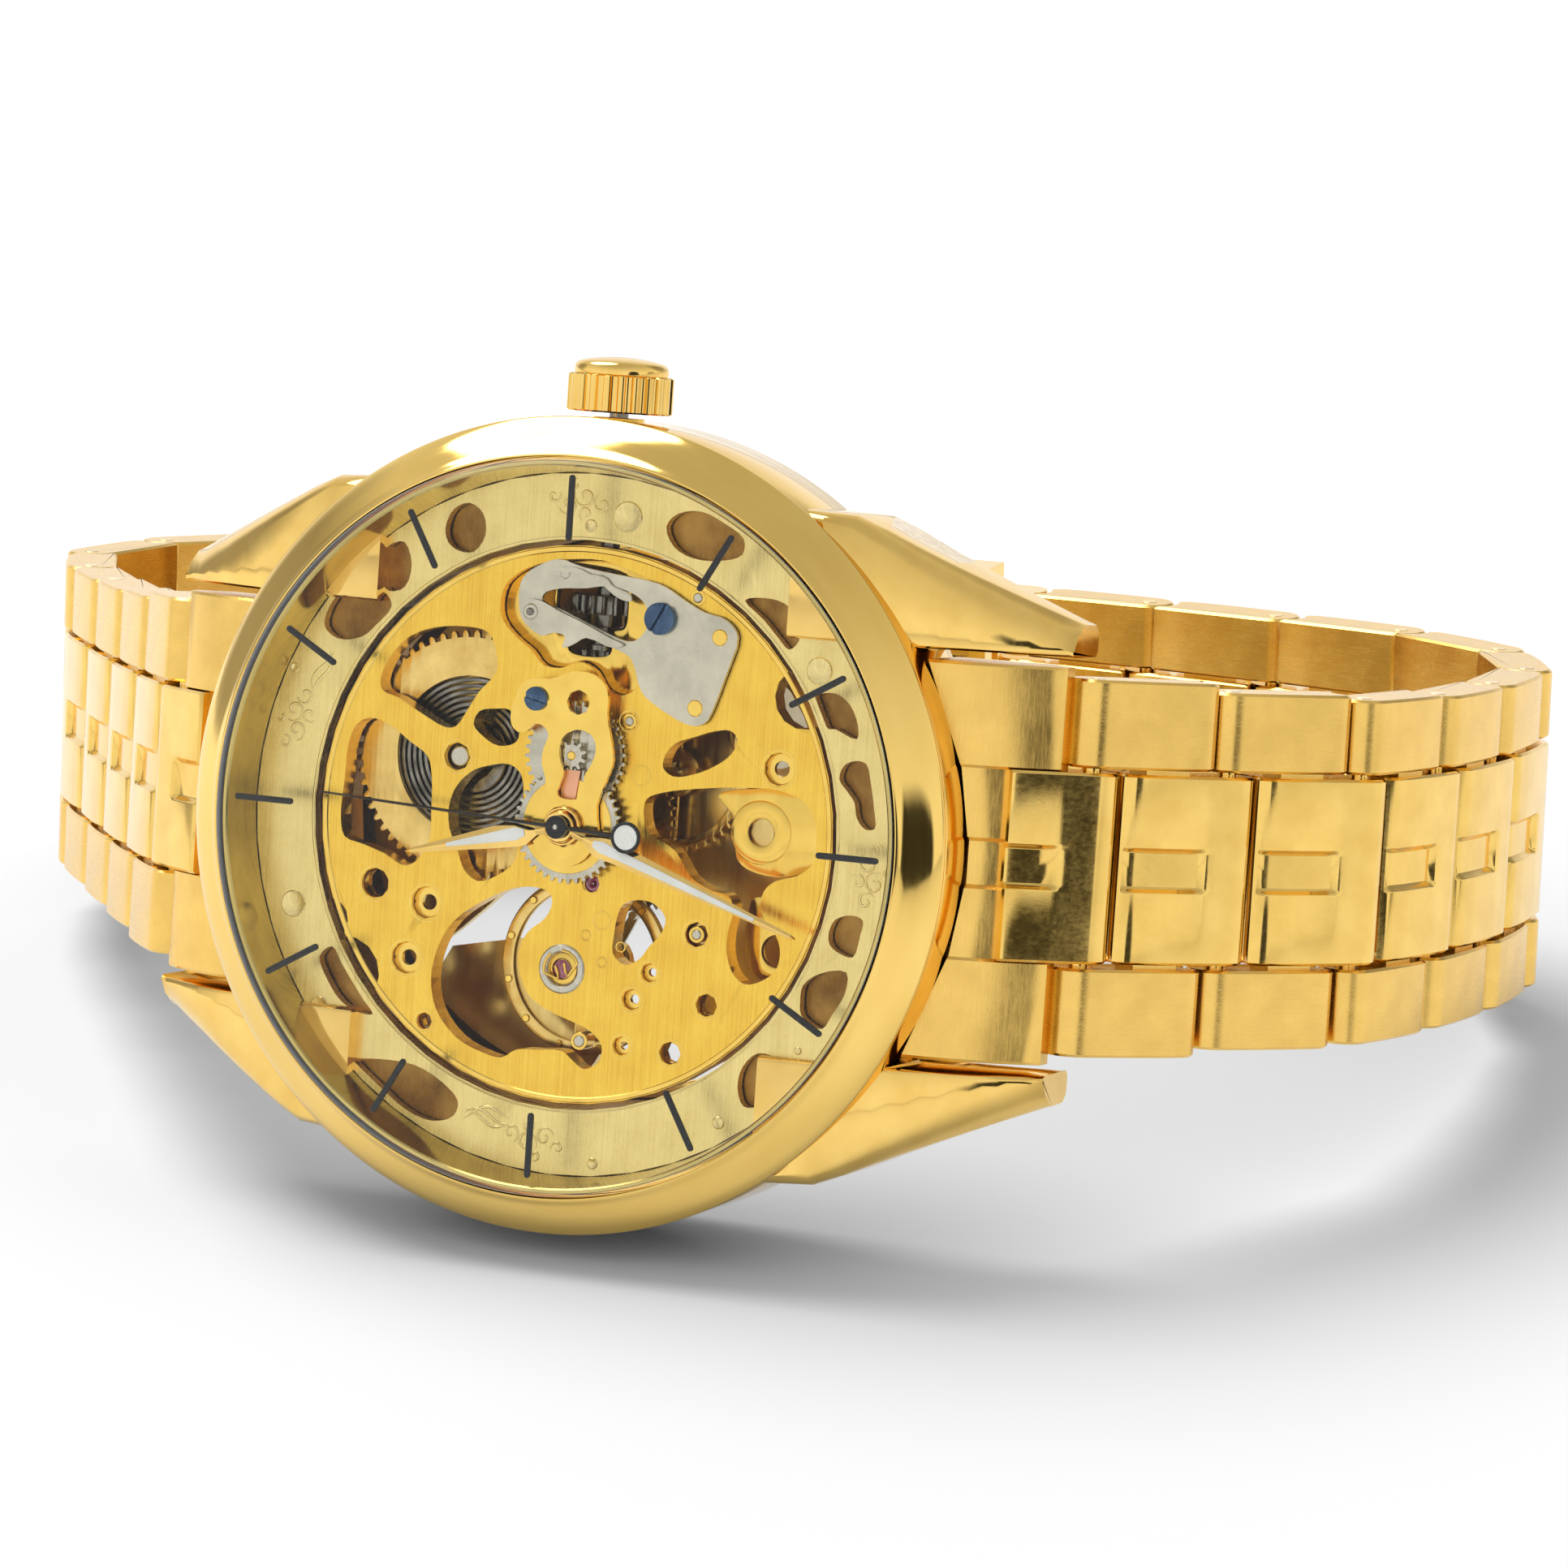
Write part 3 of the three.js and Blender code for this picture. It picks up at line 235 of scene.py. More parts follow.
PLATE_GOLD = surface(
    "plate_gold", (0.76, 0.43, 0.045), (1.0, 0.67, 0.1), 0.24, 0.08, grain=(0.12, 16.0, 16.0),
    bump=0.16, streaks=0.55, attribute=False,
)
RING_GOLD = surface(
    "champagne_gold", (0.66, 0.5, 0.17), (0.95, 0.77, 0.31), 0.28, 0.08, grain=(0.12, 14.0, 14.0),
    bump=0.2, streaks=0.5, attribute=False,
)
RELIEF_GOLD = surface(
    "relief_gold", (0.74, 0.58, 0.22), (0.93, 0.76, 0.34), 0.24, 0.06, grain=(3, 3, 3), bump=0.08
)
BRIDGE_GOLD = surface(
    "bridge_gold", (0.7, 0.5, 0.16), (0.9, 0.68, 0.26), 0.22, 0.06, grain=(0.1, 3.0, 3.0), bump=0.1,
    attribute=False,
)
# Gold darkened to a painted shade: the movement ring sits deep in the case, and this dark red-brown colour
# stands in for the shade there.
SHADE_PAINTED_GOLD = surface(
    "shade_painted_gold", (0.2, 0.09, 0.015), (0.42, 0.23, 0.05), 0.3, 0.08, grain=(0.6, 5, 5), bump=0.1,
    attribute=False,
)
TRIM_GOLD = surface(
    "movement_gold", (0.85, 0.55, 0.1), (0.96, 0.66, 0.14), 0.16, 0.05, grain=(1.5, 4, 4), bump=0.03,
    attribute=False,
)
BRASS = surface(
    "wheel_brass", (0.7, 0.46, 0.12), (0.92, 0.66, 0.22), 0.24, 0.06, grain=(0.5, 12, 12), bump=0.08
)
STEEL = surface(
    "satin_steel", (0.5, 0.47, 0.37), (0.68, 0.64, 0.52), 0.3, 0.06, grain=(1.6, 5, 5), bump=0.06
)
FRAME_STEEL = surface(
    "keyless_steel", (0.5, 0.47, 0.36), (0.7, 0.65, 0.5), 0.3, 0.06, grain=(3, 4, 4), bump=0.06,
    attribute=False,
)
DARK_STEEL = surface(
    "dark_steel", (0.1, 0.09, 0.07), (0.34, 0.32, 0.27), 0.22, 0.07, grain=(0.5, 9, 9), bump=0.08
)
BLUED = surface(
    "blued_steel", (0.03, 0.06, 0.12), (0.1, 0.17, 0.27), 0.25, 0.06, grain=(1, 6, 6), bump=0.05
)
BLACK = surface(
    "black_lacquer", (0.004, 0.004, 0.005), (0.012, 0.012, 0.014), 0.22, 0.06, metallic=0.0,
    grain=(2, 2, 2), bump=0.02, coat=0.5,
)
BLACK.node_tree.nodes["Principled BSDF"].inputs["Specular IOR Level"].default_value = 0.12
LUME = surface(
    "lume_white", (0.82, 0.84, 0.76), (0.95, 0.96, 0.9), 0.5, 0.08, metallic=0.0, grain=(6, 6, 6),
    bump=0.12,
)
COPPER = surface(
    "copper_red", (0.72, 0.3, 0.16), (0.92, 0.5, 0.3), 0.3, 0.06, grain=(1, 7, 7), bump=0.08
)
RUBY = ruby_stone()
# Both glasses get a painted reflection at their rims.
CRYSTAL = crystal_glass("sapphire_crystal", 0.005, 0.3)
BACK_GLASS = crystal_glass("sapphire_back", 0.02, 0.4)


# ---- mesh helpers ----
def mesh_piece(
    name, vertices, faces, material, body, slot, place=FLAT, base=WATCH, bevel=0.0, segments=2,
    angle=35.0, grain="straight",
):
    """A piece from points in millimetres; keeps its own coordinates as the grain attribute."""
    mesh = bpy.data.meshes.new(name)
    mesh.from_pydata([tuple(v) for v in vertices], [], faces)
    return finish_piece(mesh, name, material, body, place, base, bevel, segments, angle, grain)


def finish_piece(mesh, name, material, body, place, base, bevel, segments, angle, grain):
    work = bmesh.new()
    work.from_mesh(mesh)
    bmesh.ops.remove_doubles(work, verts=work.verts, dist=1e-5)
    bmesh.ops.recalc_face_normals(work, faces=work.faces)
    work.to_mesh(mesh)
    work.free()
    attribute = mesh.attributes.new("grain", "FLOAT_VECTOR", "POINT")
    for vertex, value in zip(mesh.vertices, attribute.data):
        value.vector = grain_of(vertex.co, grain)
    mesh.transform(base @ place)
    for one in material if isinstance(material, (list, tuple)) else [material]:
        mesh.materials.append(one)
    mesh.shade_smooth()
    mesh.set_sharp_from_angle(angle=math.radians(angle))
    piece = bpy.data.objects.new(name, mesh)
    bpy.context.scene.collection.objects.link(piece)
    if bevel:
        add_bevel(piece, bevel, segments, angle)
    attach(piece, body)
    return piece


def grain_of(point, grain):
    if grain == "round":
        return (math.atan2(point.y, point.x) * 6.0, math.hypot(point.x, point.y), point.z)
    return tuple(point)


def add_bevel(piece, width, segments=2, angle=35.0):
    bevel = piece.modifiers.new("edges", "BEVEL")
    bevel.width = width * MM
    bevel.segments = segments
    bevel.limit_method = "ANGLE"
    bevel.angle_limit = math.radians(angle)
    bevel.harden_normals = True
    bevel.miter_outer = "MITER_ARC"


def loft(sections, closed_ends=True):
    """Faces over rings of the same number of points; returns vertices and faces."""
    count = len(sections[0])
    vertices = [point for section in sections for point in section]
    faces = []
    for row in range(len(sections) - 1):
        for i in range(count):
            j = (i + 1) % count
            faces.append((row * count + i, row * count + j, (row + 1) * count + j, (row + 1) * count + i))
    if closed_ends:
        faces.append(tuple(range(count)))
        last = (len(sections) - 1) * count
        faces.append(tuple(last + i for i in reversed(range(count))))
    return vertices, faces


def lathe(profile, segments=128):
    """Turns a closed profile of (radius, height) about z; a radius of 0 closes on the axis."""
    vertices, faces = [], []
    count = len(profile)
    for s in range(segments):
        a = 2 * math.pi * s / segments
        vertices += [(r * math.cos(a), r * math.sin(a), z) for r, z in profile]
    for s in range(segments):
        t = (s + 1) % segments
        for i in range(count):
            j = (i + 1) % count
            if profile[i][0] == 0 and profile[j][0] == 0:
                continue
            corners = [s * count + i, s * count + j, t * count + j, t * count + i]
            if profile[i][0] == 0:
                corners.pop()
                corners[0] = i
            elif profile[j][0] == 0:
                corners = [s * count + i, j, t * count + i]
            faces.append(tuple(corners))
    return vertices, faces


def lathe_piece(name, profile, material, body, slot, place=FLAT, segments=128, **extra):
    extra.setdefault("grain", "round")
    return mesh_piece(name, *lathe(profile, segments), material, body, slot, place, **extra)


def ring_profile(inner, outer, low, high, edge=0.05):
    """Section of a flat ring with its four edges broken; inner 0 gives a disc."""
    if inner == 0:
        return [(0, low), (outer - edge, low), (outer, low + edge), (outer, high - edge),
                (outer - edge, high), (0, high)]
    return [
        (inner, low + edge), (inner + edge, low), (outer - edge, low), (outer, low + edge),
        (outer, high - edge), (outer - edge, high), (inner + edge, high), (inner, high - edge),
    ]


def outline_piece(name, outlines, low, high, material, body, slot, place=FLAT, edge=0.04, **extra):
    """A flat piece cut to an outline with holes, with broken edges on both faces."""
    curve = bpy.data.curves.new(name + "_outline", "CURVE")
    curve.dimensions = "2D"
    curve.fill_mode = "BOTH"
    curve.extrude = (high - low) / 2 - edge
    curve.bevel_depth = edge
    curve.bevel_resolution = 1
    curve.offset = -edge
    for points in outlines:
        spline = curve.splines.new("POLY")
        spline.points.add(len(points) - 1)
        for target, (x, y) in zip(spline.points, points):
            target.co = (x, y, 0, 1)
        spline.use_cyclic_u = True
    shape = bpy.data.objects.new(name + "_outline", curve)
    bpy.context.scene.collection.objects.link(shape)
    graph = bpy.context.evaluated_depsgraph_get()
    mesh = bpy.data.meshes.new_from_object(shape.evaluated_get(graph))
    bpy.data.objects.remove(shape)
    mesh.name = name
    mesh.materials.clear()
    mesh.transform(Matrix.Translation((0, 0, (low + high) / 2)))
    extra = {"base": WATCH, "bevel": 0.0, "segments": 2, "angle": 30.0, "grain": "straight", **extra}
    return finish_piece(
        mesh, name, material, body, place, extra["base"], extra["bevel"], extra["segments"],
        extra["angle"], extra["grain"],
    )


def circle(radius, count=48, x=0.0, y=0.0):
    return [
        (x + radius * math.cos(2 * math.pi * i / count), y + radius * math.sin(2 * math.pi * i / count))
        for i in range(count)
    ]


def smooth_loop(points, steps=10):
    """Closed Catmull-Rom curve through the points."""
    count = len(points)
    result = []
    for i in range(count):
        p = [Vector(points[(i + k) % count]) for k in (-1, 0, 1, 2)]
        for s in range(steps):
            t = s / steps
            value = 0.5 * (
                2 * p[1] + (p[2] - p[0]) * t + (2 * p[0] - 5 * p[1] + 4 * p[2] - p[3]) * t * t
                + (3 * p[1] - p[0] - 3 * p[2] + p[3]) * t ** 3
            )
            result.append(tuple(value))
    return result


def tube_piece(name, points, radius, material, body, slot, place=FLAT, sides=10, flat=1.0, taper=0.0):
    """A wire along open points; flat squeezes its section in z, taper thins both ends."""
    path = [Vector(p) for p in points]
    sections = []
    for i, point in enumerate(path):
        ahead = (path[min(i + 1, len(path) - 1)] - path[max(i - 1, 0)]).normalized()
        side = ahead.cross(Vector((0, 0, 1))).normalized()
        up = side.cross(ahead)
        share = min(i, len(path) - 1 - i) / max(1, len(path) // 3)
        size = radius * (1 - taper * (1 - min(1.0, share)))
        ring = []
        for k in range(sides):
            a = 2 * math.pi * k / sides
            ring.append(point + side * size * math.cos(a) + up * size * flat * math.sin(a))
        sections.append(ring)
    return mesh_piece(name, *loft(sections), material, body, slot, place, angle=50)


# ---- gears ----
TEETH = {
    "barrel": 60, "centre_pinion": 10, "centre": 48, "third_pinion": 6, "third": 45, "fourth_pinion": 6,
    "fourth": 60, "escape_pinion": 5, "escape": 15, "cannon_pinion": 12, "minute": 36, "minute_pinion": 10,
    "hour": 40, "ratchet": 35, "crown_wheel": 25, "winding_pinion": 18, "clutch": 10,
}


def tooth_line(count, pitch_radius, phase=0.0):
    """Outline of a watch gear: straight flanks below the pitch circle and ogive tips above it."""
    module = 2 * pitch_radius / count
    corners = [(-0.95, -0.27), (-0.2, -0.235), (0.2, -0.2), (0.6, -0.11), (0.8, 0.0), (0.6, 0.11),
               (0.2, 0.2), (-0.2, 0.235), (-0.95, 0.27)]
    points = []
    for i in range(count):
        for height, part in corners:
            a = phase + (i + part) * 2 * math.pi / count
            r = pitch_radius + height * module
            points.append((r * math.cos(a), r * math.sin(a)))
    return points


def mesh_phase(start, end, driver, driven):
    """Phase that puts a driven gear's gap against a tooth of a driver at phase 0."""
    bearing = math.atan2(end[1] - start[1], end[0] - start[0])
    turn = bearing * TEETH[driver] / (2 * math.pi)
    return bearing + math.pi + (turn % 1 + 0.5) * 2 * math.pi / TEETH[driven]


def pitch_radii(start, end, driver, driven):
    """Pitch radii of two gears in mesh, from their centres and tooth counts."""
    distance = math.hypot(end[0] - start[0], end[1] - start[1])
    radius = distance * TEETH[driver] / (TEETH[driver] + TEETH[driven])
    return radius, distance - radius


def spoke_holes(inner, outer, spokes, width, steps=14):
    holes = []
    for i in range(spokes):
        start = i * 2 * math.pi / spokes
        end = start + 2 * math.pi / spokes
        hole = []
        for radius, first, last in ((outer, start, end), (inner, end, start)):
            trim = math.asin(width / 2 / radius) * (1 if last > first else -1)
            for s in range(steps):
                a = first + trim + (last - first - 2 * trim) * s / (steps - 1)
                hole.append((radius * math.cos(a), radius * math.sin(a)))
        holes.append(hole)
    return holes


def gear_piece(name, at, gear, radius, low, high, material, body, phase=0.0, holes=(), edge=0.025,
               slot="wheel_brass"):
    return outline_piece(
        name, [tooth_line(TEETH[gear], radius, phase), *holes], low, high, material, body, slot,
        Matrix.Translation((*at, 0)), edge, grain="round",
    )


def steel_gear(name, at, gear, radius, low, high, body, **extra):
    return gear_piece(name, at, gear, radius, low, high, STEEL, body, slot="satin_steel", **extra)


def coil_sections(turns, steps, start, gain, half, low, high):
    """Sections of a flat spiral spring whose radius grows by gain over all its turns."""
    corners = ((-half, low), (half, low), (half, high), (-half, high))
    sections = []
    for i in range(turns * steps + 1):
        a = 2 * math.pi * i / steps
        r = start + gain * i / (turns * steps)
        sections.append([((r + d) * math.cos(a), (r + d) * math.sin(a), z) for d, z in corners])
    return sections


# ---- case and crystal ----
BEZEL_OUTER = 21.0
BEZEL_INNER = 18.95
CASE_RADIUS = 20.9


def make_bezel():
    profile = [
        (BEZEL_INNER, 1.32), (BEZEL_OUTER - 0.1, 1.32), (BEZEL_OUTER, 1.4), (BEZEL_OUTER, 1.56),
        (BEZEL_OUTER - 0.06, 1.66), (BEZEL_OUTER - 0.5, 2.08), (20.0, 2.48), (19.5, 2.83), (19.22, 3.03),
        (19.12, 3.17), (19.04, 3.22), (BEZEL_INNER + 0.02, 3.2), (BEZEL_INNER, 3.1),
    ]
    piece = lathe_piece("bezel_ring", profile, BEZEL_GOLD, "case", "polished_gold", segments=240)
    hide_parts("bezel")


def make_case_band():
    profile = [
        (18.6, -5.85), (19.9, -5.87), (20.3, -5.75), (20.75, -5.3), (CASE_RADIUS, -4.95),
        (CASE_RADIUS, 0.85), (20.82, 1.05), (20.62, 1.17), (18.6, 1.18),
    ]
    piece = lathe_piece("case_band", profile, GOLD, "case", "polished_gold", segments=240)
    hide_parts("case_middle")


def lug_section(y, side):
    """Ring of one lug section across x at height y: inner wall, top with a bevelled outer edge."""
    t = (y - 11.5) / (25.2 - 11.5)
    inner = 10.65
    outer = 17.2 - 0.75 * t if t < 0.25 else 17.01 - 4.75 * (t - 0.25) ** 0.92 / 0.75 ** 0.92
    outer = max(outer, 12.2)
    top = 1.05 - 0.25 * t - 4.65 * t ** 2.1
    bottom = -5.8 - 1.75 * t ** 2.2
    chamfer = 0.35 + 1.15 * min(1.0, t * 1.3)
    drop = 0.5 + 0.9 * min(1.0, t * 1.3)
    points = [
        (inner, bottom + 0.25), (inner, top - 0.25), (inner + 0.12, top - 0.06), (inner + 0.3, top),
        (outer - chamfer, top - 0.02), (outer - chamfer * 0.45, top - drop * 0.38),
        (outer - 0.06, top - drop), (outer, top - drop - 0.35), (outer - 0.05, bottom + 0.5),
        (outer - 0.4, bottom + 0.08), (outer - 0.7, bottom), (inner + 0.3, bottom),
    ]
    return [(side * x, y, z) for x, z in points]


def make_lugs():
    stations = [11.5, 13, 14.5, 16, 17.5, 19, 20.5, 22, 23.2, 24.2, 24.9]
    for end in (1, -1):
        for side in (1, -1):
            sections = [lug_section(y, side) for y in stations]
            tip = [(x * 0.995, 25.2, z * 0.992 - 0.02) for x, _, z in lug_section(25.0, side)]
            sections.append(tip)
            sections = [[(x, end * y, z) for x, y, z in ring] for ring in sections]
            name = f"lug_{'twelve' if end > 0 else 'six'}_{'crown' if side > 0 else 'nine'}"
            mesh_piece(name, *loft(sections), GOLD, "case", "polished_gold", bevel=0.1, angle=38)


def make_rehaut():
    profile = [
        (18.12, 0.32), (18.4, 0.32), (18.75, 2.84), (18.72, 2.92), (18.55, 2.94), (18.47, 2.86),
        (18.3, 1.75), (18.2, 0.95),
    ]
    # The rehaut's darker gold is painted shade.
    piece = lathe_piece("rehaut", profile, REHAUT_SHADED_GOLD, "case", "rehaut_gold", segments=240)
    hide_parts("inner_flange")


def make_crystal():
    profile = [
        (0, 3.02), (18.6, 3.02), (18.85, 3.1), (18.85, 3.42), (18.8, 3.5), (18.35, 3.86), (18.2, 3.9),
        (0, 3.9),
    ]
    piece = lathe_piece("crystal_disc", profile, CRYSTAL, "case", "sapphire", segments=240)
    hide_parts("crystal")


def make_markers():
    """Twelve slim bars with round ends on the underside of the crystal."""
    half = 0.165
    inner, outer = 14.66, 18.03
    bar = []
    for end, start in ((outer - half, 0), (inner + half, math.pi)):
        for s in range(9):
            a = start + math.pi * s / 8
            bar.append((half * math.cos(a), end + half * math.sin(a)))
    for hour in range(12):
        outline_piece(
            f"marker_{hour + 1}", [bar], 2.84, 2.99, BLACK, "case", "black_lacquer",
            hand_place(30 * hour), edge=0.03,
        )


# ---- crown ----
STEM_Z = -2.4


def make_crown():
    flutes = 22
    steps = 10
    sections = []
    for x, swell in ((21.25, -0.16), (21.33, 0.0), (23.12, 0.0), (23.2, -0.14)):
        ring = []
        for i in range(flutes * steps):
            wave = math.cos(2 * math.pi * i / steps)
            radius = 2.63 + 0.12 * math.tanh(2.6 * wave) / math.tanh(2.6) + swell
            a = 2 * math.pi * i / (flutes * steps)
            ring.append((x, radius * math.cos(a), radius * math.sin(a)))
        sections.append(ring)
    place = Matrix.Translation((0, 0, STEM_Z))
    vertices, faces = loft(sections)
    grip = mesh_piece(
        "crown_grip", vertices, faces, GOLD, "crown_stem", "polished_gold", place, angle=30
    )
    cap = [
        (0, 23.15), (2.34, 23.15), (2.44, 23.22), (2.46, 23.42), (2.42, 23.62), (2.3, 23.78),
        (2.1, 23.88), (1.5, 24.02), (0.8, 24.11), (0, 24.14),
    ]
    along = place @ Matrix.Rotation(math.pi / 2, 4, "Y")
    lathe_piece("crown_cap", cap, GOLD, "crown_stem", "polished_gold", along)
    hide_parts("crown")


# ---- hands ----
def facet_hand(name, length, tail, width, hub, hub_bore, low, high, angle, body, node_name):
    """A lance hand with two sloping facets, a luminous strip and a turned hub."""
    ridge = high - 0.01
    edge = low + 0.03
    stations = [(-tail, width * 0.35), (1.5, width * 0.35), (2.2, width * 0.95), (2.6, width),
                (3.8, width * 0.86), (length - 0.25, 0.12), (length, 0.03)]
    sections = []
    for y, half in stations:
        sections.append([
            (-half, y, low), (-half, y, edge), (-half * 0.15, y, ridge), (half * 0.15, y, ridge),
            (half, y, edge), (half, y, low),
        ])
    place = hand_place(angle)
    blade = mesh_piece(name + "_blade", *loft(sections), GOLD, body, "polished_gold", place, angle=12)
    strip = [(-width * 0.25, 2.1), (-width * 0.5, 2.6), (-width * 0.42, 3.6), (-0.1, length - 2.4),
             (0.1, length - 2.4), (width * 0.42, 3.6), (width * 0.5, 2.6), (width * 0.25, 2.1)]
    outline_piece(
        name + "_lume", [strip], high - 0.05, high + 0.03, LUME, body, "lume_white", place, edge=0.012
    )
    lathe_piece(
        name + "_hub", ring_profile(hub_bore, hub, low, high + 0.02, 0.04), GOLD, body,
        "polished_gold", segments=64,
    )
    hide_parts(node_name)


def make_hands():
    facet_hand("hour_hand_fine", 9.0, 0.4, 0.68, 1.0, 0.86, 1.35, 1.52, 346.5, "hour_work", "hour_hand")
    facet_hand("minute_hand_fine", 14.1, 0.4, 0.62, 0.8, 0.5, 1.7, 1.87, 198.4, "centre", "minute_hand")
    place = hand_place(2.5)
    sections = []
    for y, half in ((-3.2, 0.13), (0.0, 0.11), (13.2, 0.06), (13.6, 0.02)):
        sections.append([(-half, y, 2.06), (-half * 0.5, y, 2.17), (half * 0.5, y, 2.17), (half, y, 2.06)])
    needle = mesh_piece(
        "seconds_needle", *loft(sections), BLACK, "fourth", "black_lacquer", place, angle=20
    )
    hub = [(0.14, 1.99), (0.58, 1.99), (0.6, 2.03), (0.6, 2.2), (0.52, 2.27), (0.3, 2.3), (0.14, 2.29)]
    lathe_piece("seconds_hub", hub, BLACK, "fourth", "black_lacquer", segments=64)
    pin = [(0, 1.99), (0.13, 1.99), (0.13, 2.29), (0.1, 2.32), (0, 2.33)]
    lathe_piece("seconds_pivot", pin, STEEL, "fourth", "satin_steel", segments=32)
    back = place @ Matrix.Translation((0, -3.9, 0))
    lathe_piece(
        "counterweight_ring", ring_profile(0.64, 0.82, 2.05, 2.2, 0.04), BLACK, "fourth",
        "black_lacquer", back, segments=64,
    )
    lathe_piece(
        "counterweight_lume", ring_profile(0, 0.65, 2.07, 2.18, 0.03), LUME, "fourth", "lume_white",
        back, segments=64,
    )
    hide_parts("second_hand")


# ---- bracelet ----
# Hinge pitch, nose radius, radius of the hollow that clears the next nose, half width of a centre piece,
# inner edge of the outer pieces, half widths of the first links, and place and slope of the first hinge.
PITCH = 8.2
NOSE = 1.45
HOLLOW = 1.72
CENTRE_HALF = 4.85
OUTER_NEAR = 5.1
TAPER = [9.6, 9.2, 9.0, 8.9]
FIRST_HINGE = joint_place("twelve_link_1_hinge")[1:]
TONGUE_FALL = 38.0
# Trim at the cut edges, swell of the face, step of the lip, spare turn of the hollow, and the groove
# along the middle of a centre piece with the sections that follow it.
EDGE = 0.14
SWELL = 0.1
LIP_STEP = 0.1
HOLLOW_CLEARANCE = 0.42
GROOVE_DEPTH = 0.34
GROOVE_FLOOR = 0.85
GROOVE_HALF = 1.2
GROOVE_STOPS = [-1.22, -1.15, -1.05, -0.95, -0.85, 0.0, 0.85, 0.95, 1.05, 1.15, 1.22]


def row_profile():
    """Section of a row piece from its nose round the hinge at u = 0 to its hollow end."""
    points = []
    for s in range(17):
        a = math.pi / 2 + math.pi * s / 16
        points.append((NOSE * math.cos(a), NOSE * math.sin(a)))
    lift = math.asin(NOSE / HOLLOW)
    corner = PITCH - HOLLOW * math.cos(lift)
    points += [(PITCH * 0.3, -NOSE), (PITCH * 0.6, -NOSE), (corner - 0.25, -NOSE), (corner, -NOSE + 0.08)]
    turn = lift - HOLLOW_CLEARANCE
    for s in range(12):
        a = math.pi + lift - (lift + turn) * s / 11
        points.append((PITCH + HOLLOW * math.cos(a), HOLLOW * math.sin(a)))
    lip_u = PITCH + HOLLOW * math.cos(math.pi - turn)
    lip_n = HOLLOW * math.sin(math.pi - turn)
    for s in range(1, 7):
        a = math.pi / 2 * s / 6
        points.append((lip_u - LIP_STEP - (1 - math.cos(a)), lip_n + (NOSE - lip_n) * math.sin(a)))
    for part in (0.62, 0.5, 0.38, 0.3, 0.262, 0.242, 0.225, 0.205, 0.14):
        points.append((PITCH * part, NOSE + SWELL * (1 - ((part - 0.38) / 0.4) ** 2)))
    return points


def smooth_step(value, start, end):
    t = min(1.0, max(0.0, (value - start) / (end - start)))
    return t * t * (3 - 2 * t)


def groove_across(w):
    """1 over the floor of the middle groove, falling to 0 at its edges."""
    return 1 - smooth_step(abs(w), GROOVE_FLOOR, GROOVE_HALF)


def band_depth(u, w):
    """Depth of the middle groove of a centre piece, closed near its nose."""
    along = 1 - smooth_step(u, PITCH - 2.15, PITCH - 1.75)
    return GROOVE_DEPTH * groove_across(w) * along


def row_piece(low, high, nose_first, grooved):
    stops = [low, low + EDGE, *(GROOVE_STOPS if grooved else []), high - EDGE, high]
    rings = []
    for w in stops:
        near_edge = min(w - low, high - w) < 0.05
        ring = []
        for u, n in row_profile():
            if not nose_first:
                u = PITCH - u
            if near_edge:
                n *= 1 - EDGE / NOSE
                u += 0.1 * (1 if u < PITCH / 2 else -1)
            elif grooved and n > NOSE - 0.35:
                n -= band_depth(u, w)
            ring.append((u, n, w))
        rings.append(ring)
    return loft(rings)


def join_shells(*shells):
    vertices, faces, marks = [], [], []
    for mark, (points, polygons) in shells:
        start = len(vertices)
        vertices += points
        faces += [tuple(start + i for i in polygon) for polygon in polygons]
        marks += [mark] * len(polygons)
    return vertices, faces, marks


def pin_shell(at, low, high, radius, sides=20):
    rings = []
    for w, r in ((low, radius - 0.05), (low + 0.05, radius), (high - 0.05, radius), (high, radius - 0.05)):
        rings.append([
            (at + r * math.cos(2 * math.pi * k / sides), r * math.sin(2 * math.pi * k / sides), w)
            for k in range(sides)
        ])
    return loft(rings)


def box_shell(low, high):
    (x0, y0, z0), (x1, y1, z1) = low, high
    return loft([[(x0, y0, z), (x1, y0, z), (x1, y1, z), (x0, y1, z)] for z in (z0, z1)])


def link_mesh_parts(half):
    return join_shells(
        (0, row_piece(-CENTRE_HALF, CENTRE_HALF, False, True)),
        (1, row_piece(OUTER_NEAR, half, True, False)),
        (1, row_piece(-half, -OUTER_NEAR, True, False)),
        (1, box_shell((2.8, -0.85, -6.1), (5.4, 0.85, 6.1))),
        (2, pin_shell(0.0, -half - 0.02, half + 0.02, 0.5)),
    )


def link_frame(name):
    """u along the bracelet from the link's own hinge, n outward, w across."""
    joint = JOINTS[name + "_hinge"]
    w = -Vector(joint["axis"]).normalized()
    corners = frame["nodes"][name].data.vertices
    middle = sum((v.co for v in corners), Vector()) / len(corners)
    u = middle - Vector(joint["pos_m"])
    u = (u - w * u.dot(w)).normalized()
    return frame_matrix(joint["pos_m"], u, w)


def make_links():
    shapes = [link_mesh_parts(half) for half in TAPER]
    for side, count in (("six", 10), ("twelve", 8)):
        for i in range(1, count + 1):
            name = f"{side}_link_{i}"
            vertices, faces, marks = shapes[min(i, len(shapes)) - 1]
            mesh = bpy.data.meshes.new(name + "_fine")
            mesh.from_pydata(vertices, [], faces)
            mesh.polygons.foreach_set("material_index", marks)
            piece = finish_piece(
                mesh, name + "_fine", [CENTRE_GOLD, SATIN_GOLD, GOLD], name, FLAT,
                link_frame(name), 0.0, 2, 32, "straight",
            )
            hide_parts(name)


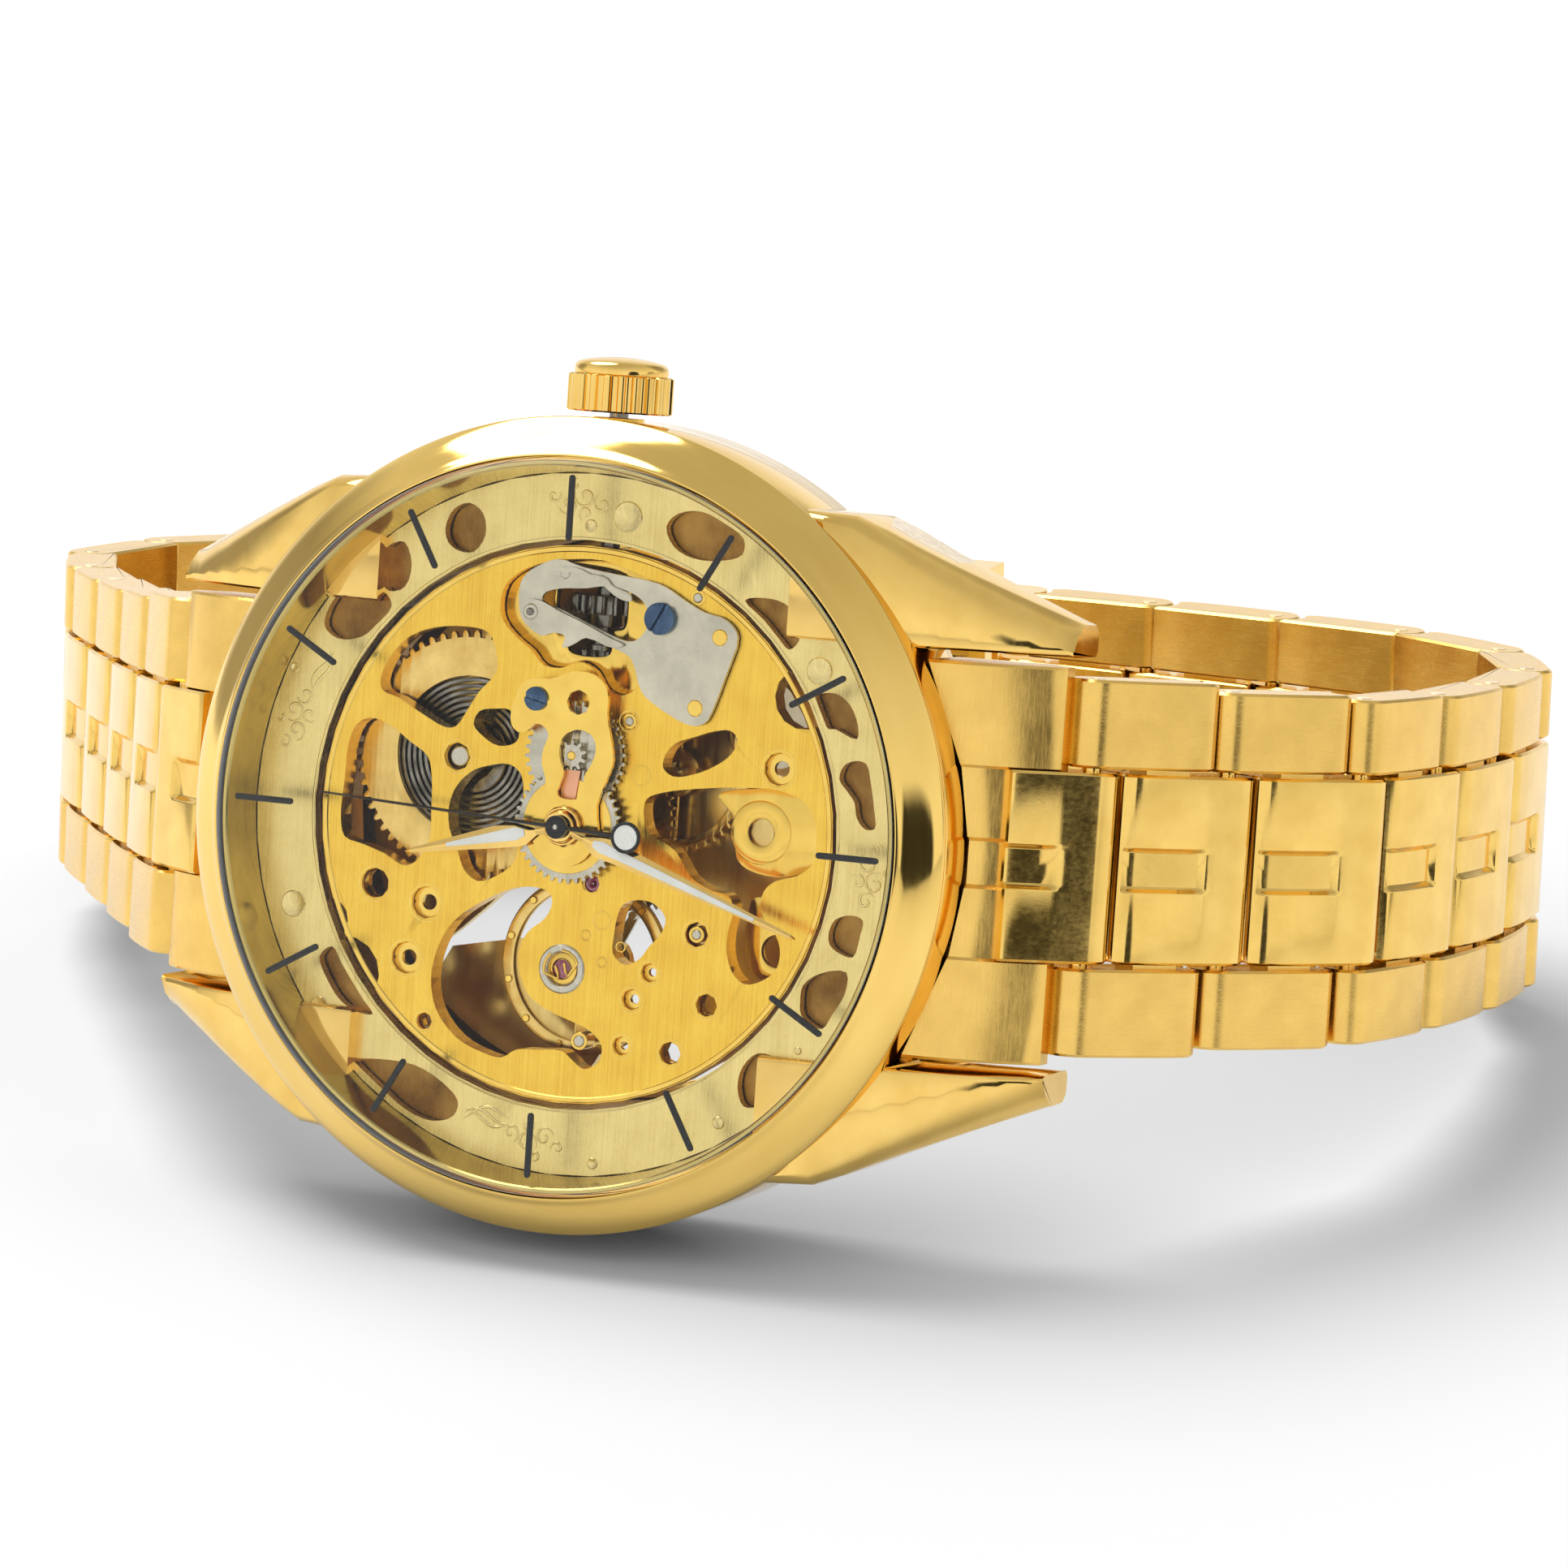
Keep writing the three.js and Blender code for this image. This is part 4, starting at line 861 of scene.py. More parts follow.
def shoulder_top(start, middle):
    """Top line of an end link from the case wall down to its edge before the first hinge."""
    top = []
    for s in range(11):
        y = start + (24.75 - start) * s / 10
        fall = (y - 19) / (24.75 - 19)
        z = -0.95 - 0.75 * fall - 1.95 * fall ** 2
        if middle:
            z = min(z - 0.14, -1.25 - 0.74 * (y - 20.9))
        top.append((y, z))
    return top


def end_tongue(w, low, high):
    """Section of the centre piece that stands proud of an end link and holds the first hinge."""
    a = math.radians(TONGUE_FALL)
    along, out = (math.cos(a), -math.sin(a)), (math.sin(a), math.cos(a))
    trim = EDGE if min(w - low, high - w) < 0.05 else 0.0
    ring = []
    for u, n in ((-4.7, -1.1), (-4.72, NOSE - 0.2), (-4.62, NOSE - 0.04), (-4.45, NOSE),
                 (-3.6, NOSE + 0.03), (-2.9, NOSE + 0.05), (-2.2, NOSE + 0.04), (-2.05, NOSE + 0.04),
                 (-1.9, NOSE + 0.03), (-1.75, NOSE + 0.03), (-1.2, NOSE + 0.02), (-0.5, NOSE + 0.01)):
        if n > 0 and not trim:
            n -= GROOVE_DEPTH * groove_across(w) * (1 - smooth_step(u, -2.15, -1.8))
        ring.append((u, n - trim))
    for s in range(17):
        turn = math.pi / 2 - math.pi * s / 16
        ring.append(((NOSE - trim) * math.cos(turn), (NOSE - trim) * math.sin(turn)))
    return [
        (w, FIRST_HINGE[0] + u * along[0] + n * out[0], FIRST_HINGE[1] + u * along[1] + n * out[1])
        for u, n in ring
    ]


def make_end_links():
    """Shoulders between the lugs with a lowered middle and the first centre piece of the bracelet."""
    stops = [-10.1, -9.95, -4.95, -4.8, -1.3, -1.1, 1.1, 1.3, 4.8, 4.95, 9.95, 10.1]
    tongue_stops = [-CENTRE_HALF, EDGE - CENTRE_HALF, *GROOVE_STOPS, CENTRE_HALF - EDGE, CENTRE_HALF]
    for side, label in ((-1, "six"), (1, "twelve")):
        rings = []
        for w in stops:
            middle = abs(w) < 4.9
            groove = 0.25 if abs(w) < 1.2 else 0.0
            near_edge = abs(w) > 10.0
            reach = CASE_RADIUS + 0.15
            top = shoulder_top(math.sqrt(reach ** 2 - w ** 2), middle)
            ring = [(y, z - groove - (0.12 if near_edge else 0.0)) for y, z in top]
            ring += [(24.92, top[-1][1] - 0.25 - groove), (24.95, -4.9), (24.0, -5.6), (23.4, -6.3),
                     (top[0][0] + 0.6, -5.4), (top[0][0], -5.2)]
            rings.append([(w, side * y, z) for y, z in ring])
        shoulders = mesh_piece(
            f"{label}_end_link_fine", *loft(rings), SATIN_GOLD, "case", "satin_gold", angle=28
        )
        sections = []
        for w in tongue_stops:
            ring = end_tongue(w, -CENTRE_HALF, CENTRE_HALF)
            sections.append([(x, side * y, z) for x, y, z in ring])
        mesh_piece(f"{label}_end_tongue", *loft(sections), CENTRE_GOLD, "case", "satin_gold", angle=32)
        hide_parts(f"{label}_end_link")


# ---- everything ----
make_bezel()
make_case_band()
make_lugs()
make_rehaut()
make_crystal()
make_markers()
make_crown()
make_hands()
make_links()
make_end_links()


# ---- CAD nodes that stay, with broken edges and a finish ----
def dress(name, material, edge=0.04, angle=30.0):
    piece = frame["nodes"][name]
    piece.data.materials.clear()
    piece.data.materials.append(material)
    weld = piece.modifiers.new("weld", "WELD")
    weld.merge_threshold = 1e-7
    if edge:
        add_bevel(piece, edge, 2, angle)


def dress_cad_nodes():
    dress("main_plate", PLATE_GOLD, 0.05)
    dress("dial_ring", RING_GOLD, 0.04)
    for name in ("barrel_bridge", "train_bridge", "balance_cock"):
        dress(name, BRIDGE_GOLD, 0.08)
    dress("motion_bridge", TRIM_GOLD, 0.06)
    dress("keyless_plate", FRAME_STEEL, 0.04)
    dress("setting_lever", FRAME_STEEL, 0.03)
    # The movement ring gets the gold with painted shade.
    dress("movement_ring", SHADE_PAINTED_GOLD, 0.1)
    dress("crown_tube", TRIM_GOLD, 0.05)
    dress("stem", DARK_STEEL, 0.04)
    dress("case_back", BEZEL_GOLD, 0.08, 20)
    dress("case_back_glass", BACK_GLASS, 0.05)
    dress("cannon_pinion", TRIM_GOLD, 0.03)
    dress("pallet_fork", FRAME_STEEL, 0.02)
    dress("clasp_cover", BEZEL_GOLD, 0.15)
    for name in ("clasp_outer_blade", "clasp_inner_blade"):
        dress(name, FRAME_STEEL, 0.08)


# ---- going train in fine teeth ----
CENTRE = (0.0, 0.0)
BARREL = joint_place("barrel_spin")[:2]
THIRD = joint_place("third_spin")[:2]
ESCAPE = joint_place("escape_spin")[:2]
PALLET = joint_place("pallet_rock")[:2]
BALANCE = joint_place("balance_swing")[:2]
MINUTE = joint_place("minute_work_spin")[:2]
CROWN_WHEEL = joint_place("crown_wheel_spin")[:2]


def hub_piece(name, at, profile, material, body, slot="wheel_brass", segments=48):
    return lathe_piece(
        name, profile, material, body, slot, Matrix.Translation((*at, 0)), segments=segments
    )


def steel_hub(name, at, profile, body, segments=48):
    return hub_piece(name, at, profile, STEEL, body, "satin_steel", segments)


def plate_trim(name, at, profile, segments=48):
    return hub_piece(name, at, profile, TRIM_GOLD, "case", "plate_gold", segments)


def make_barrel():
    pitch, _ = pitch_radii(CENTRE, BARREL, "barrel", "centre_pinion")
    lid = gear_piece(
        "barrel_teeth", BARREL, "barrel", pitch, -1.85, -1.5, BRASS, "barrel", holes=[circle(4.15, 90)]
    )
    wall = [(5.25, -3.4), (5.6, -3.45), (5.6, -1.86), (5.25, -1.86)]
    hub_piece("barrel_wall", BARREL, wall, BRASS, "barrel", segments=96)
    floor = ring_profile(1.0, 5.3, -3.45, -3.2, 0.04)
    hub_piece("barrel_floor", BARREL, floor, BRASS, "barrel", segments=96)
    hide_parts("barrel_drum")
    sections = coil_sections(9, 48, 2.0, 2.9, 0.1, -3.0, -1.92)
    spring = mesh_piece(
        "mainspring_coils", *loft(sections), DARK_STEEL, "barrel", "dark_steel",
        Matrix.Translation((*BARREL, 0)), bevel=0.03, angle=50, grain="round",
    )
    core = ring_profile(1.3, 2.0, -3.05, -1.8, 0.06)
    hub_piece("barrel_arbor_core", BARREL, core, DARK_STEEL, "barrel", "dark_steel")
    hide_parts("mainspring")


def make_train():
    _, centre_pinion = pitch_radii(CENTRE, BARREL, "barrel", "centre_pinion")
    centre, third_pinion = pitch_radii(CENTRE, THIRD, "centre", "third_pinion")
    third, fourth_pinion = pitch_radii(CENTRE, THIRD, "third", "fourth_pinion")
    fourth, _ = pitch_radii(CENTRE, ESCAPE, "fourth", "escape_pinion")
    # Name, place, radius, faces and spokes of a wheel; its pinion's radius, faces, driver; its arbor.
    rows = [
        ("centre", CENTRE, centre, (-3.8, -3.55), (1.5, 3.5, 4, 0.6), centre_pinion, (-2.1, -1.3),
         "barrel", BARREL, [(0.31, -3.7), (0.5, -3.7), (0.5, -1.5), (0.31, -1.5)]),
        ("third", THIRD, third, (-4.5, -4.25), (1.3, 3.5, 4, 0.6), third_pinion, (-3.95, -3.4),
         "centre", CENTRE, ring_profile(0, 0.26, -5.1, -1.5, 0.03)),
        ("fourth", CENTRE, fourth, (-5.05, -4.8), (1.2, 3.1, 4, 0.5), fourth_pinion, (-4.9, -4.15),
         "third", THIRD, ring_profile(0, 0.16, -5.1, 1.98, 0.02)),
    ]
    for name, at, radius, faces, spokes, pinion_radius, pinion_faces, driver, driver_at, arbor in rows:
        wheel = gear_piece(
            f"{name}_wheel_fine", at, name, radius, *faces, BRASS, name, holes=spoke_holes(*spokes)
        )
        pinion = f"{name}_pinion"
        phase = mesh_phase(driver_at, at, driver, pinion)
        steel_gear(pinion, at, pinion, pinion_radius, *pinion_faces, name, phase=phase)
        steel_hub(f"{name}_arbor", at, arbor, name)
        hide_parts(f"{name}_wheel")


def make_escapement():
    count = TEETH["escape"]
    step = 2 * math.pi / count
    line = []
    for i in range(count):
        for r, part in ((1.15, 0), (1.3, 0.14), (1.55, 0.28), (1.57, 0.34), (1.5, 0.4), (1.15, 0.42)):
            line.append((r * math.cos((i + part) * step), r * math.sin((i + part) * step)))
    wheel = outline_piece(
        "escape_wheel_fine", [line, *spoke_holes(0.5, 0.95, 4, 0.25, 8)], -4.3, -4.1, STEEL, "escape",
        "satin_steel", Matrix.Translation((*ESCAPE, 0)), 0.02, grain="round",
    )
    arbor = ring_profile(0, 0.15, -5.1, -4.05, 0.02)
    steel_hub("escape_arbor", ESCAPE, arbor, "escape")
    _, pinion_radius = pitch_radii(CENTRE, ESCAPE, "fourth", "escape_pinion")
    phase = mesh_phase(CENTRE, ESCAPE, "fourth", "escape_pinion")
    steel_gear("escape_pinion", ESCAPE, "escape_pinion", pinion_radius, -5.05, -4.2, "escape", phase=phase)
    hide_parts("escape_wheel")
    for x, y, turn in ((-0.45, 1.12, 30), (0.8, -0.85, -40)):
        place = Matrix.Translation((*PALLET, 0)) @ Matrix.Translation((x, y, 0))
        place = place @ Matrix.Rotation(math.radians(turn), 4, "Z")
        stone = [(-0.3, -0.13), (0.3, -0.13), (0.3, 0.13), (-0.3, 0.13)]
        outline_piece(f"pallet_stone_{turn + 50}", [stone], -4.5, -4.3, RUBY, "pallet", "ruby", place)


def make_balance():
    place = Matrix.Translation((*BALANCE, 0))
    rim = outline_piece(
        "balance_rim", [circle(4.7, 120), *spoke_holes(0.7, 4.05, 2, 0.7, 40)], -3.35, -2.85, BRASS,
        "balance", "wheel_brass", place, 0.08, grain="round",
    )
    for i in range(12):
        a = math.radians(15 + 30 * i)
        seat = place @ Matrix.Translation((4.38 * math.cos(a), 4.38 * math.sin(a), 0))
        screw = ring_profile(0, 0.2, -2.86, -2.74, 0.03)
        lathe_piece(f"rim_screw_{i + 1}", screw, TRIM_GOLD, "balance", "wheel_brass", seat, 20)
    staff = [(0, -5.1), (0.12, -5.1), (0.12, -4.4), (0.85, -4.35), (0.85, -4.1), (0.3, -4.05),
             (0.3, -3.5), (0.5, -3.4), (0.5, -2.7), (0.3, -2.6), (0.28, -1.6), (0.12, -1.5), (0, -1.4)]
    steel_hub("balance_staff", BALANCE, staff, "balance")
    sections = coil_sections(7, 40, 0.5, 2.2, 0.03, -2.5, -2.25)
    spring = mesh_piece(
        "hairspring_coils", *loft(sections), DARK_STEEL, "balance", "dark_steel", place, angle=50,
        grain="round",
    )
    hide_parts("hairspring")
    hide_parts("balance_wheel")


# ---- motion work and winding work ----
def make_motion_work():
    _, minute = pitch_radii(CENTRE, MINUTE, "cannon_pinion", "minute")
    hour, minute_pinion = pitch_radii(CENTRE, MINUTE, "hour", "minute_pinion")
    wheel = steel_gear(
        "minute_wheel_fine", MINUTE, "minute", minute, 0.12, 0.36, "minute_work",
        phase=mesh_phase(CENTRE, MINUTE, "cannon_pinion", "minute"),
    )
    steel_gear("minute_pinion", MINUTE, "minute_pinion", minute_pinion, 0.36, 0.8, "minute_work")
    boss = ring_profile(0, 0.24, 0.36, 0.86, 0.05)
    hub_piece("minute_wheel_arbor", MINUTE, boss, TRIM_GOLD, "minute_work", "polished_gold")
    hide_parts("minute_wheel")
    wheel = steel_gear(
        "hour_wheel_fine", CENTRE, "hour", hour, 0.5, 0.75, "hour_work",
        phase=mesh_phase(MINUTE, CENTRE, "minute_pinion", "hour"), holes=[circle(0.63, 40)],
    )
    face = ring_profile(0.86, hour - 0.42, 0.74, 0.79, 0.02)
    hub_piece("hour_wheel_face", CENTRE, face, TRIM_GOLD, "hour_work", "polished_gold", 96)
    tube = ring_profile(0.63, 0.85, 0.7, 1.33, 0.03)
    hub_piece("hour_wheel_tube", CENTRE, tube, TRIM_GOLD, "hour_work", "polished_gold", 64)
    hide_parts("hour_wheel")


def make_winding():
    ratchet, crown_wheel = pitch_radii(CROWN_WHEEL, BARREL, "ratchet", "crown_wheel")
    wheel = steel_gear(
        "ratchet_wheel_fine", BARREL, "ratchet", ratchet, -4.65, -4.4, "ratchet",
        holes=[circle(0.72, 32)], edge=0.03,
    )
    shaft = [(0, -5.05), (0.9, -5.0), (0.9, -4.5), (0.7, -4.5), (0.7, -1.35), (0.6, -1.3), (0, -1.3)]
    steel_hub("barrel_arbor", BARREL, shaft, "ratchet")
    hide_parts("ratchet_wheel")
    wheel = steel_gear(
        "crown_wheel_fine", CROWN_WHEEL, "crown_wheel", crown_wheel, -4.65, -4.4, "crown_wheel",
        phase=mesh_phase(BARREL, CROWN_WHEEL, "ratchet", "crown_wheel"), holes=[circle(0.7, 32)], edge=0.03,
    )
    boss = ring_profile(0, 0.8, -5.0, -4.42, 0.06)
    steel_hub("crown_wheel_boss", CROWN_WHEEL, boss, "crown_wheel")
    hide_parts("crown_wheel")
    along = Matrix.Translation((0, 0, STEM_Z)) @ Matrix.Rotation(math.pi / 2, 4, "Y")
    collar = ring_profile(0.63, 1.0, 10.2, 10.9, 0.05)
    sleeve = [(0.63, 8.95), (0.9, 8.95), (0.9, 9.25), (0.7, 9.3), (0.7, 9.55), (0.9, 9.6), (0.9, 9.93),
              (0.63, 9.93)]
    # Toothed piece, teeth, pitch radius, faces, edge; plain piece on it, its section; node replaced.
    rows = [
        ("winding_pinion_teeth", "winding_pinion", 1.7, (10.85, 11.85), 0.05, "winding_pinion_collar",
         collar, "winding_pinion"),
        ("clutch_teeth", "clutch", 1.1, (8.3, 9.0), 0.04, "clutch_sleeve", sleeve, "sliding_clutch"),
    ]
    for name, gear, radius, faces, edge, plain, section, replaced in rows:
        toothed = outline_piece(
            name, [tooth_line(TEETH[gear], radius), circle(0.63, 32)], *faces, DARK_STEEL, "winding",
            "dark_steel", along, edge, grain="round",
        )
        lathe_piece(plain, section, DARK_STEEL, "winding", "dark_steel", along, 48)
        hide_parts(replaced)


# ---- small trim on the plate ----
def sink(name, x, y, radius, depth=0.7, rim=0.16, stepped=False):
    """Polished countersink round a hole; a stepped one has an inner shoulder with a smaller bore."""
    inner = radius - 0.1
    profile = [(inner, -depth), (radius + rim - 0.02, -0.12), (radius + rim, 0.012),
               (radius + rim - 0.03, 0.02), (radius + 0.02, -0.02), (inner + 0.03, -0.14)]
    if stepped:
        profile[0:1] = [(inner, -0.4), (inner * 0.55, -0.4), (inner * 0.55, -depth), (radius, -depth)]
    plate_trim(name, (x, y), profile)


def slotted_screw(name, x, y, radius, low, high, turn, material=BLUED, slot="blued_steel"):
    """Screw head of two half discs over a base, so the driver slot is real."""
    place = Matrix.Translation((x, y, 0))
    gap = 0.11 * radius + 0.03
    depth = 0.55 * (high - low)
    lathe_piece(name + "_base", ring_profile(0, radius, low, high - depth, 0.02), material, "case", slot,
                place, 48)
    start = math.asin(gap / radius)
    for index, side in enumerate((1, -1)):
        half = [
            (radius * math.cos(start + (math.pi - 2 * start) * s / 20),
             side * radius * math.sin(start + (math.pi - 2 * start) * s / 20)) for s in range(21)
        ]
        outline_piece(f"{name}_half_{index + 1}", [half], high - depth - 0.01, high, material, "case",
                      slot, place @ Matrix.Rotation(math.radians(turn), 4, "Z"), 0.03)


def jewel(name, x, y, radius, top=-0.04):
    """A ruby with a polished dish and an oil hole, set in a gold chaton."""
    profile = [(0.07, top - 0.4), (radius, top - 0.4), (radius, top - 0.05), (radius - 0.06, top),
               (radius * 0.55, top), (radius * 0.3, top - 0.1), (0.07, top - 0.2)]
    hub_piece(name, (x, y), profile, RUBY, "case", "ruby", 40)
    chaton = ring_profile(radius, radius + 0.1, -0.35, 0.015, 0.03)
    plate_trim(name + "_chaton", (x, y), chaton, 40)
    pivot = [(0, top - 0.6), (0.06, top - 0.6), (0.06, top - 0.06), (0.03, top - 0.03), (0, top - 0.03)]
    steel_hub(name + "_pivot", (x, y), pivot, "case", 16)


def stud(name, x, y, radius, low, high, material=TRIM_GOLD, slot="polished_gold"):
    profile = ring_profile(0, radius, low, high, min(0.06, radius * 0.25))
    hub_piece(name, (x, y), profile, material, "case", slot, 32)


# Countersinks of the main plate: x, y, radius and whether they have an inner shoulder.
PLATE_SINKS = [
    (2.94, 6.82, 0.75, False), (-4.07, 11.06, 0.8, False), (-4.8, 8.05, 0.85, True),
    (-7.79, 9.01, 0.85, True), (-10.98, 7.75, 0.45, False), (3.89, -11.2, 0.85, True),
    (-4.95, -7.27, 0.65, False), (-7.17, -4.81, 0.5, True), (-8.65, -3.91, 0.55, True),
    (-8.5, -8.07, 0.6, False), (-11.17, -6.23, 0.6, False), (-11.09, -3.5, 0.5, True),
    (5.6, -2.76, 0.45, False),
]


def make_plate_trim():
    for index, (x, y, radius, stepped) in enumerate(PLATE_SINKS):
        sink(f"plate_sink_{index + 1}", x, y, radius, stepped=stepped)
    jewel("third_jewel", *THIRD, 0.46)
    jewel("pallet_jewel", *PALLET, 0.42)
    jewel("escape_jewel", -2.9, -1.3, 0.44)
    stud("barrel_arbor_end", *BARREL, 0.52, -1.25, -0.3, STEEL, "satin_steel")
    posts = [(-4.95, -7.27, 0.26), (5.6, -2.76, 0.24), (-11.09, -1.12, 0.3), (12.2, -6.11, 0.26)]
    for index, (x, y, radius) in enumerate(posts):
        stud(f"plate_post_{index + 1}", x, y, radius, -1.1, 0.06, STEEL, "satin_steel")
        collar = ring_profile(radius, radius + 0.17, -1.0, 0.02, 0.03)
        plate_trim(f"plate_post_collar_{index + 1}", (x, y), collar, 32)
    for index, (x, y) in enumerate(((-6.0, -3.1), (-5.6, -1.1), (-6.9, -2.1))):
        ring = [(0.2, 0.0), (0.3, 0.0), (0.27, 0.03), (0.23, 0.03)]
        plate_trim(f"punched_ring_{index + 1}", (x, y), ring, 32)
    edge = [(14.05, 0.005), (14.2, 0.005), (14.34, 0.0), (14.3, 0.05), (14.1, 0.05)]
    lathe_piece("plate_rim_line", edge, TRIM_GOLD, "case", "plate_gold", segments=200)


def make_keyless_trim():
    for index, (x, y) in enumerate(((10.3, -7.6), (6.6, -6.5))):
        stud(f"keyless_pin_{index + 1}", x, y, 0.44, 0.05, 0.4)
    stud("keyless_rivet", 12.9, 1.2, 0.3, 0.1, 0.4, STEEL, "satin_steel")
    stud("lever_pivot", 10.8, 2.9, 0.42, 0.55, 0.66, STEEL, "satin_steel")
    stud("lever_pivot_tip", 10.8, 2.9, 0.2, 0.6, 0.78, DARK_STEEL, "dark_steel")
    slotted_screw("keyless_screw", 11.0, -4.3, 0.83, 0.3, 0.66, -28)
    slotted_screw("motion_bridge_screw", 6.4, 2.0, 0.62, 1.08, 1.36, 78)
    strip = [(2.0, -0.48), (2.9, -0.6), (2.9, 0.6), (2.0, 0.48), (1.2, 0.4), (1.2, -0.4)]
    outline_piece("copper_spacer", [strip], 0.8, 0.86, COPPER, "case", "copper_red")
    spring = smooth_loop([(13.0, 2.1), (13.2, 0.6), (12.7, -0.6), (11.9, -1.8), (11.75, -2.6),
                          (12.15, -2.5), (12.45, -1.6), (12.95, -0.8)], 6)
    outline_piece("setting_spring", [spring], 0.38, 0.5, FRAME_STEEL, "case", "satin_steel", edge=0.03)


def floor_piece(name, outlines, low, high, edge):
    outline_piece(name, outlines, low, high, TRIM_GOLD, "case", "plate_gold", edge=edge)


def make_recess_floors():
    """Lower levels of the plate that are seen at the bottom of the milled recesses."""
    recess = smooth_loop([
        (11.0, 4.85), (12.0, 4.65), (12.7, 3.95), (13.15, 2.95), (13.55, 1.3), (13.65, -0.7),
        (13.35, -1.9), (12.85, -3.25), (11.9, -4.05), (10.2, -4.05), (9.0, -3.45), (7.75, -3.25),
        (6.95, -2.4), (7.15, -1.4), (8.05, -0.7), (8.45, 0.2), (8.05, 1.3), (8.15, 2.3), (8.8, 2.95),
        (9.4, 3.85), (10.2, 4.65),
    ], 4)
    slot_line = smooth_loop([
        (13.0, 1.6), (13.2, 0.0), (13.0, -1.5), (12.2, -1.95), (10.4, -1.95), (10.0, -1.25),
        (8.9, -1.15), (8.7, 0.0), (8.9, 1.15), (10.0, 1.35), (10.5, 1.95), (12.2, 2.0),
    ], 5)
    floor_piece("keyless_floor", [recess, slot_line], -1.15, -0.62, 0.04)
    shelf = smooth_loop([
        (1.0, -8.4), (2.2, -7.4), (2.7, -9.5), (2.7, -11.3), (2.3, -12.5), (1.5, -13.2), (0.3, -13.4),
        (-0.7, -13.3), (-1.3, -12.6), (-1.7, -11.3), (-1.6, -9.6), (-0.9, -8.6),
    ], 5)
    seat_at = (0.47, -9.9)
    floor_piece("train_shelf", [shelf, circle(0.7, 32, *seat_at)], -1.9, -1.35, 0.05)
    seat = [(0.72, -1.5), (1.65, -1.5), (1.65, -1.3), (1.55, -1.24), (0.82, -1.24), (0.72, -1.3)]
    plate_trim("train_seat", seat_at, seat, 64)
    well = smooth_loop([
        (-3.0, -9.4), (-4.6, -9.1), (-5.7, -9.1), (-6.7, -9.5), (-7.1, -10.1), (-6.8, -11.0),
        (-6.2, -11.7), (-5.2, -11.8), (-4.2, -11.3), (-3.2, -10.7),
    ], 5)
    floor_piece("well_floor", [well, circle(0.85, 32, -5.6, -10.9)], -2.6, -2.1, 0.05)


def make_shock_setting():
    ring = [(0.78, -0.3), (1.24, -0.3), (1.28, -0.1), (1.28, 0.04), (1.2, 0.1), (0.95, 0.1), (0.84, 0.02),
            (0.78, -0.08)]
    steel_hub("shock_ring", BALANCE, ring, "case", 80)
    chaton = [(0.0, -0.4), (0.8, -0.4), (0.8, -0.1), (0.56, -0.04), (0.5, -0.14), (0, -0.14)]
    plate_trim("shock_block", BALANCE, chaton, 64)
    cap = [(0, -0.18), (0.46, -0.18), (0.48, -0.02), (0.36, 0.05), (0.15, 0.08), (0, 0.085)]
    hub_piece("shock_cap_jewel", BALANCE, cap, RUBY, "case", "ruby", 48)
    place = Matrix.Translation((*BALANCE, 0)) @ Matrix.Rotation(math.radians(20), 4, "Z")
    for index, side in enumerate((1, -1)):
        lyre = [(0.98 * math.cos(a), side * 0.98 * math.sin(a), 0.1) for a in (0.35, 0.75, 1.15, 1.5)]
        lyre += [(-0.2, side * 0.62, 0.11), (-0.45, side * 0.3, 0.12), (-0.2, side * 0.22, 0.12),
                 (0.25, side * 0.26, 0.12)]
        tube_piece(f"shock_lyre_{index + 1}", lyre, 0.08, TRIM_GOLD, "case", "plate_gold", place)


# ---- relief on the dial ring ----
def spiral(x, y, size, start, turns, hand=1):
    points = []
    count = max(8, int(14 * turns))
    for i in range(count + 1):
        t = i / count
        a = math.radians(start) + hand * 2 * math.pi * turns * t
        r = size * (1 - 0.82 * t)
        points.append((x + r * math.cos(a), y + r * math.sin(a), 0.25))
    return points


# Curls of each cloud, from its middle on the ring: across, outward, size, start angle, turns and hand.
CLOUD = [
    (-0.75, -0.1, 0.55, 200, 1.15, 1), (0.2, 0.35, 0.62, 160, 1.2, 1), (1.15, 0.0, 0.5, 120, 1.1, 1),
    (0.25, -0.55, 0.42, 240, 1.0, -1), (-1.55, 0.35, 0.38, 30, 1.0, -1), (-0.35, 0.95, 0.3, 80, 0.9, 1),
]


def cloud(name, degrees, radius, tail):
    """A generic scroll cloud raised on the ring, with an optional flowing tail."""
    a = math.radians(90 - degrees)
    place = Matrix.Translation((radius * math.cos(a), radius * math.sin(a), 0))
    place = place @ Matrix.Rotation(a - math.pi / 2, 4, "Z")
    for index, (x, y, size, start, turns, hand) in enumerate(CLOUD):
        tube_piece(
            f"{name}_curl_{index + 1}", spiral(x, y, size, start, turns, hand), 0.075, RELIEF_GOLD, "case",
            "champagne_gold", place, 8, 0.7, 0.6,
        )
    for index in range(tail):
        drop = 0.28 * index
        line = []
        for i in range(13):
            t = i / 12
            line.append((1.3 + 2.6 * t, -0.45 - drop * (1 - t) + 0.35 * math.sin(5 * t + index), 0.25))
        tube_piece(
            f"{name}_tail_{index + 1}", line, 0.085, RELIEF_GOLD, "case", "champagne_gold", place, 8,
            0.7, 0.8,
        )


